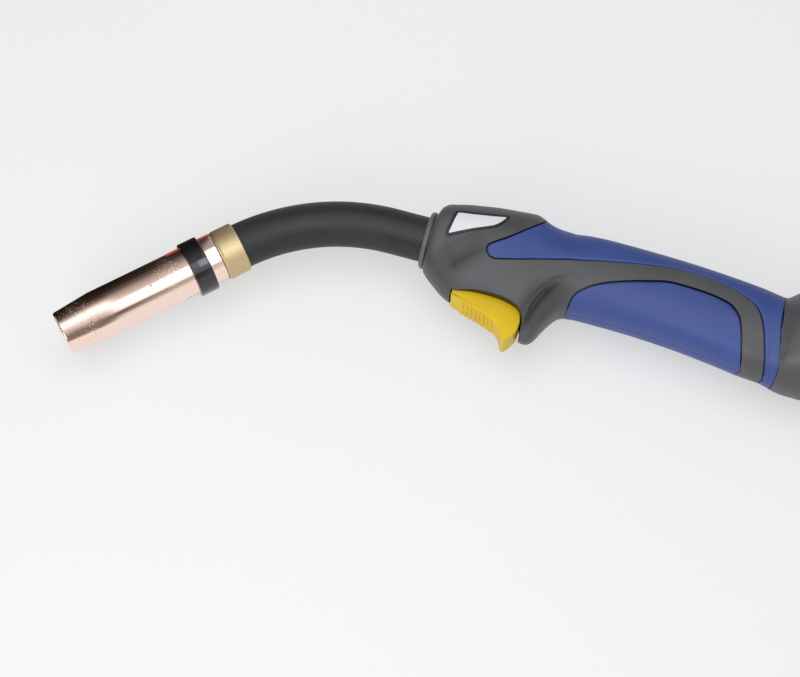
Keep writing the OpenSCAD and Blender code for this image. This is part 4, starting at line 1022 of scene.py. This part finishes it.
# ---- Pin, spring and switch -----------------------------------------------------------------------
# A steel pin and a coil spring carry the trigger. It presses the red plunger of a small black snap
# switch, whose two leads run back past the connector block to a white plug.
bright_steel = moulded("bright steel", (0.50, 0.51, 0.53), (0.62, 0.63, 0.65), 0.28, 1500, 90, 0.08,
                       Metallic=1.0)
black_mould = moulded("black moulding", (0.014, 0.014, 0.015), (0.024, 0.024, 0.026), 0.42)
red_button = moulded("red plunger", (0.42, 0.022, 0.016), (0.52, 0.030, 0.022), 0.3)
lead_skin = moulded("lead insulation", (0.42, 0.42, 0.44), (0.50, 0.50, 0.53), 0.4)
white_plug = moulded("white plug", (0.72, 0.72, 0.68), (0.80, 0.80, 0.77), 0.4)
dressed(bright_steel, "trigger_pin", "trigger_spring", "wire_liner")
dressed(black_mould, "switch_body", "ball_seat_front", "ball_seat_rear")
dressed(red_button, "switch_plunger")
dressed(lead_skin, "switch_leads")
dressed(white_plug, "lead_connector")

# ---- Handle screws ----------------------------------------------------------------------------------
# Four socket screws hold the shells together from the right side, at the bottom of round wells.
SCREW_SEAT = -11.9
screw_source = point_object("screw places", [place(x, y, SCREW_SEAT) for x, y in SCREWS])
screw_tree, screw_in = tree_with("socket screws on points", [
    ("Head Radius", "NodeSocketFloat"), ("Head Height", "NodeSocketFloat"),
    ("Shank Length", "NodeSocketFloat"), ("Material", "NodeSocketMaterial")])
SOCKET_DEPTH = 0.0024
screw_half = maths(screw_tree, "MULTIPLY", screw_in.outputs["Head Radius"], 0.5)
screw_head = wired(screw_tree, "GeometryNodeMeshCylinder", {
    "Vertices": 48, "Radius": screw_in.outputs["Head Radius"], "Depth": screw_in.outputs["Head Height"]})
screw_socket = wired(screw_tree, "GeometryNodeMeshCylinder", {
    "Vertices": 6, "Radius": screw_half, "Depth": SOCKET_DEPTH})
screw_sunk = wired(screw_tree, "GeometryNodeTransform", {
    "Geometry": screw_socket, "Translation": (0, 0, -SOCKET_DEPTH / 2)})
screw_cut = wired(screw_tree, "GeometryNodeMeshBoolean", {
    "Mesh 1": screw_head, "Mesh 2": screw_sunk}, operation="DIFFERENCE")
screw_up = wired(screw_tree, "GeometryNodeTransform", {
    "Geometry": screw_cut, "Translation": (0, 0, SOCKET_DEPTH / 2)})
screw_shank = wired(screw_tree, "GeometryNodeMeshCylinder", {
    "Vertices": 32, "Radius": screw_half, "Depth": screw_in.outputs["Shank Length"]})
screw_rest = maths(screw_tree, "MULTIPLY", screw_in.outputs["Shank Length"], 0.5)
screw_offset = wired(screw_tree, "ShaderNodeCombineXYZ", {
    "Z": maths(screw_tree, "ADD", screw_rest, SOCKET_DEPTH)})
screw_shank_up = wired(screw_tree, "GeometryNodeTransform", {
    "Geometry": screw_shank, "Translation": screw_offset})
screw_place = wired(screw_tree, "GeometryNodeInstanceOnPoints", {
    "Points": screw_in, "Instance": joined(screw_tree, screw_up, screw_shank_up)})
ended(screw_tree, screw_in, screw_place)
screws = grown("shell_socket_screws", screw_source, screw_tree, {
    "Head Radius": 0.0032, "Head Height": 0.0024, "Shank Length": 0.0175, "Material": bright_steel})
soft_shaded(screws.data, 35)
put(screws, "handle", "steel", "handle_screws")

# ---- Swivel ball ------------------------------------------------------------------------------------
# A hollow plastic ball turns in its seats at the rear of the handle. The hose package passes through
# it, and its spigot holds the bend guard.
BALL_FRONT, SPIGOT_END, HOSE_R = -12.0, 30.95, 10.0
ball_arc = [(BALL_R * math.sin(t), BALL_R * math.cos(t))
            for t in np.linspace(math.acos(BALL_FRONT / BALL_R), math.asin(SPIGOT_R / BALL_R), 40)]
ball = revolved("swivel_hose_ball", [(14.0, BALL_FRONT)] + ball_arc + [
    (SPIGOT_R, 29.6), (12.2, 30.3), (11.5, SPIGOT_END), (10.6, SPIGOT_END), (HOSE_R, 30.4),
    (HOSE_R, -7.0)],
    side_frame(SWIVEL_X, 0, (1, 0)))
ball_plastic = moulded("ball moulding", (0.040, 0.041, 0.044), (0.055, 0.056, 0.060), 0.36, 2400, 60, 0.12)
ball.data.materials.append(ball_plastic)
put(ball, "swivel_ball", "dark_grey_plastic", "swivel_ball")

# ---- Studio -------------------------------------------------------------------------------------------
# A pale floor, soft light from above and a camera on the torch's left side.
floor_mesh = bpy.data.meshes.new("studio_floor")
floor_mesh.from_pydata([(-3, -3, 0), (3, -3, 0), (3, 3, 0), (-3, 3, 0)], [], [(0, 1, 2, 3)])
floor = shown("studio_floor", floor_mesh)
floor_paint, floor_tree, floor_shader = new_material("floor paint", Roughness=0.9)
floor_shader.inputs["Base Color"].default_value = (0.87, 0.87, 0.87, 1)
# The camera and the metal see a floor that is half lit paint and half plain white
floor_path = wired(floor_tree, "ShaderNodeLightPath", {})
floor_seen = maths(floor_tree, "ADD", floor_path.outputs["Is Camera Ray"],
                   floor_path.outputs["Is Glossy Ray"])
floor_seen_all = maths(floor_tree, "ADD", floor_seen, floor_path.outputs["Is Transmission Ray"])
floor_share = maths(floor_tree, "MULTIPLY", floor_seen_all, 0.5)
floor_white = wired(floor_tree, "ShaderNodeEmission", {"Color": (1.0, 1.0, 1.0, 1), "Strength": 0.87})
floor_mix = wired(floor_tree, "ShaderNodeMixShader", {
    0: floor_share, 1: floor_shader, 2: floor_white})
floor_tree.links.new(floor_mix.outputs["Shader"], floor_tree.nodes["Material Output"].inputs["Surface"])
floor_mesh.materials.append(floor_paint)

world = bpy.data.worlds.new("studio")
bpy.context.scene.world = world
world.use_nodes = True
world_light = world.node_tree.nodes["Background"]
world_light.inputs["Color"].default_value = (0.95, 0.96, 1.0, 1)
world_light.inputs["Strength"].default_value = 0.45


def lamp(name, at, target, size, power):
    data = bpy.data.lights.new(name, "AREA")
    data.shape, data.size, data.energy = "DISK", size, power
    light = shown(name, data)
    light.location = at
    light.rotation_euler = (Vector(at) - Vector(target)).to_track_quat("Z", "Y").to_euler()


lamp("overhead softbox", (-0.05, -0.05, 0.9), (0, 0, 0), 1.15, 4.9)
lamp("front softbox", (-0.06, -0.75, 0.52), (0.0, 0, 0.02), 0.6, 3.2)


def card(name, rows, from_end, to_end):
    """A painted card bent over the nozzle, which only gloss sees. rows are its lines along the
    nozzle: out and up from the axis, tone at the rear and front ends, and cover."""
    verts, tones, covers = [], [], []
    for out, up, rear, front, cover in rows:
        verts += [(out, up, from_end), (out, up, to_end)]
        tones += [rear, front]
        covers += [cover, cover]
    faces = [(2 * i, 2 * i + 1, 2 * i + 3, 2 * i + 2) for i in range(len(rows) - 1)]
    mesh = bpy.data.meshes.new(name)
    mesh.from_pydata([BESIDE @ Vector(v) for v in verts], [], faces)
    mesh.attributes.new("tone", "FLOAT", "POINT").data.foreach_set("value", tones)
    mesh.attributes.new("cover", "FLOAT", "POINT").data.foreach_set("value", covers)
    piece = shown(name, mesh)
    mesh.materials.append(card_paint)
    piece.visible_camera = piece.visible_diffuse = piece.visible_shadow = False
    piece.visible_transmission = piece.visible_volume_scatter = False


def arched(rows, radius=200.0):
    """Rows given by their angle over the nozzle: 0 beside its belly, 180 beside its back."""
    return [(-radius * math.cos(math.radians(a)), radius * math.sin(math.radians(a)), *rest)
            for a, *rest in rows]


# Card paint: plain light of the tone's strength, a little warmer where it is dark
card_paint, card_tree = new_material("card paint", Roughness=1.0)[:2]
card_tone = wired(card_tree, "ShaderNodeAttribute", {}, attribute_name="tone")
card_cover = wired(card_tree, "ShaderNodeAttribute", {}, attribute_name="cover")
card_colour = wired(card_tree, "ShaderNodeCombineColor", {
    "Red": card_tone.outputs["Fac"], "Green": maths(card_tree, "POWER", card_tone.outputs["Fac"], 1.08),
    "Blue": maths(card_tree, "POWER", card_tone.outputs["Fac"], 1.16)})
card_light = wired(card_tree, "ShaderNodeEmission", {"Color": card_colour, "Strength": 1.0})
card_clear = wired(card_tree, "ShaderNodeBsdfTransparent", {})
card_mix = wired(card_tree, "ShaderNodeMixShader", {
    0: card_cover.outputs["Fac"], 1: card_clear, 2: card_light})
card_tree.links.new(card_mix.outputs["Shader"], card_tree.nodes["Material Output"].inputs["Surface"])
# Beside the nozzle: X out to the side of its back, Y up, Z forward along it
BESIDE = NOZZLE_AXIS @ Matrix(((0, 1, 0, 0), (1, 0, 0, 0), (0, 0, 1, 0), (0, 0, 0, 1)))
card("near barrel card", arched([
    (0, 1, 1, 1), (16, 1, 0.8, 1), (27, 1, 0.2, 1), (34, 0.9, 0.08, 1), (39, 0.9, 0.12, 1),
    (44, 1.4, 1.0, 1), (50, 1.5, 1.3, 1), (62, 1.5, 1.5, 1), (66, 1.5, 1.5, 0)]), -80, 61)
card("near taper card", arched([
    (0, 1, 1, 1), (4, 1, 1, 1), (9, 0.5, 0.3, 1), (16, 0.2, 0.15, 1), (38, 0.2, 0.2, 1),
    (50, 0.5, 0.36, 1), (64, 0.8, 0.6, 1), (76, 1.1, 0.9, 1), (86, 1.5, 1.5, 1),
    (92, 1.5, 1.5, 0)]), 61, 190)
card("clamp highlight card", arched([
    (58, 4, 4, 0), (62, 4, 4, 1), (82, 4, 4, 1), (86, 4, 4, 0)], 190), -26, 8)
floor_level = -26.0
card("far barrel card", arched([
    (80, 1.3, 1.3, 0), (85, 1.1, 1.1, 1), (90, 0.66, 0.7, 1), (97, 0.58, 0.58, 1), (112, 0.44, 0.42, 1),
    (134, 0.2, 0.11, 1), (155, 0.06, 0.025, 1), (180, 0.04, 0.015, 1)]) + [
        (180, floor_level, 0.05, 0.012, 1), (70, floor_level, 0.1, 0.012, 1),
        (13, floor_level, 0.3, 0.02, 1)],
    -24, 61)
card("far taper card", arched([
    (96, 1.4, 1.5, 0), (102, 1.2, 1.5, 1), (110, 0.8, 1.1, 1), (119, 0.36, 0.42, 1), (132, 0.1, 0.1, 1),
    (150, 0.03, 0.03, 1), (180, 0.015, 0.015, 1)]) + [
        (180, floor_level, 0.012, 0.012, 1), (13, floor_level, 0.015, 0.015, 1)], 61, 190)

# The camera looks down on the left side from the trigger side
azimuth, elevation, distance = math.radians(19.4), math.radians(67.0), 0.719
aim = place(8, -59.5, 0)
back = Vector((math.sin(azimuth) * math.cos(elevation), -math.cos(azimuth) * math.cos(elevation),
               math.sin(elevation)))
camera_data = bpy.data.cameras.new("camera")
camera_data.lens, camera_data.sensor_width = 68.85, 36
camera = shown("camera", camera_data)
right = Vector((math.cos(azimuth), math.sin(azimuth), 0))
camera.matrix_world = Matrix.Translation(aim + back * distance) @ Matrix(
    (right, back.cross(right), back)).transposed().to_4x4()
bpy.context.scene.camera = camera
bpy.context.scene.view_settings.view_transform = "Standard"
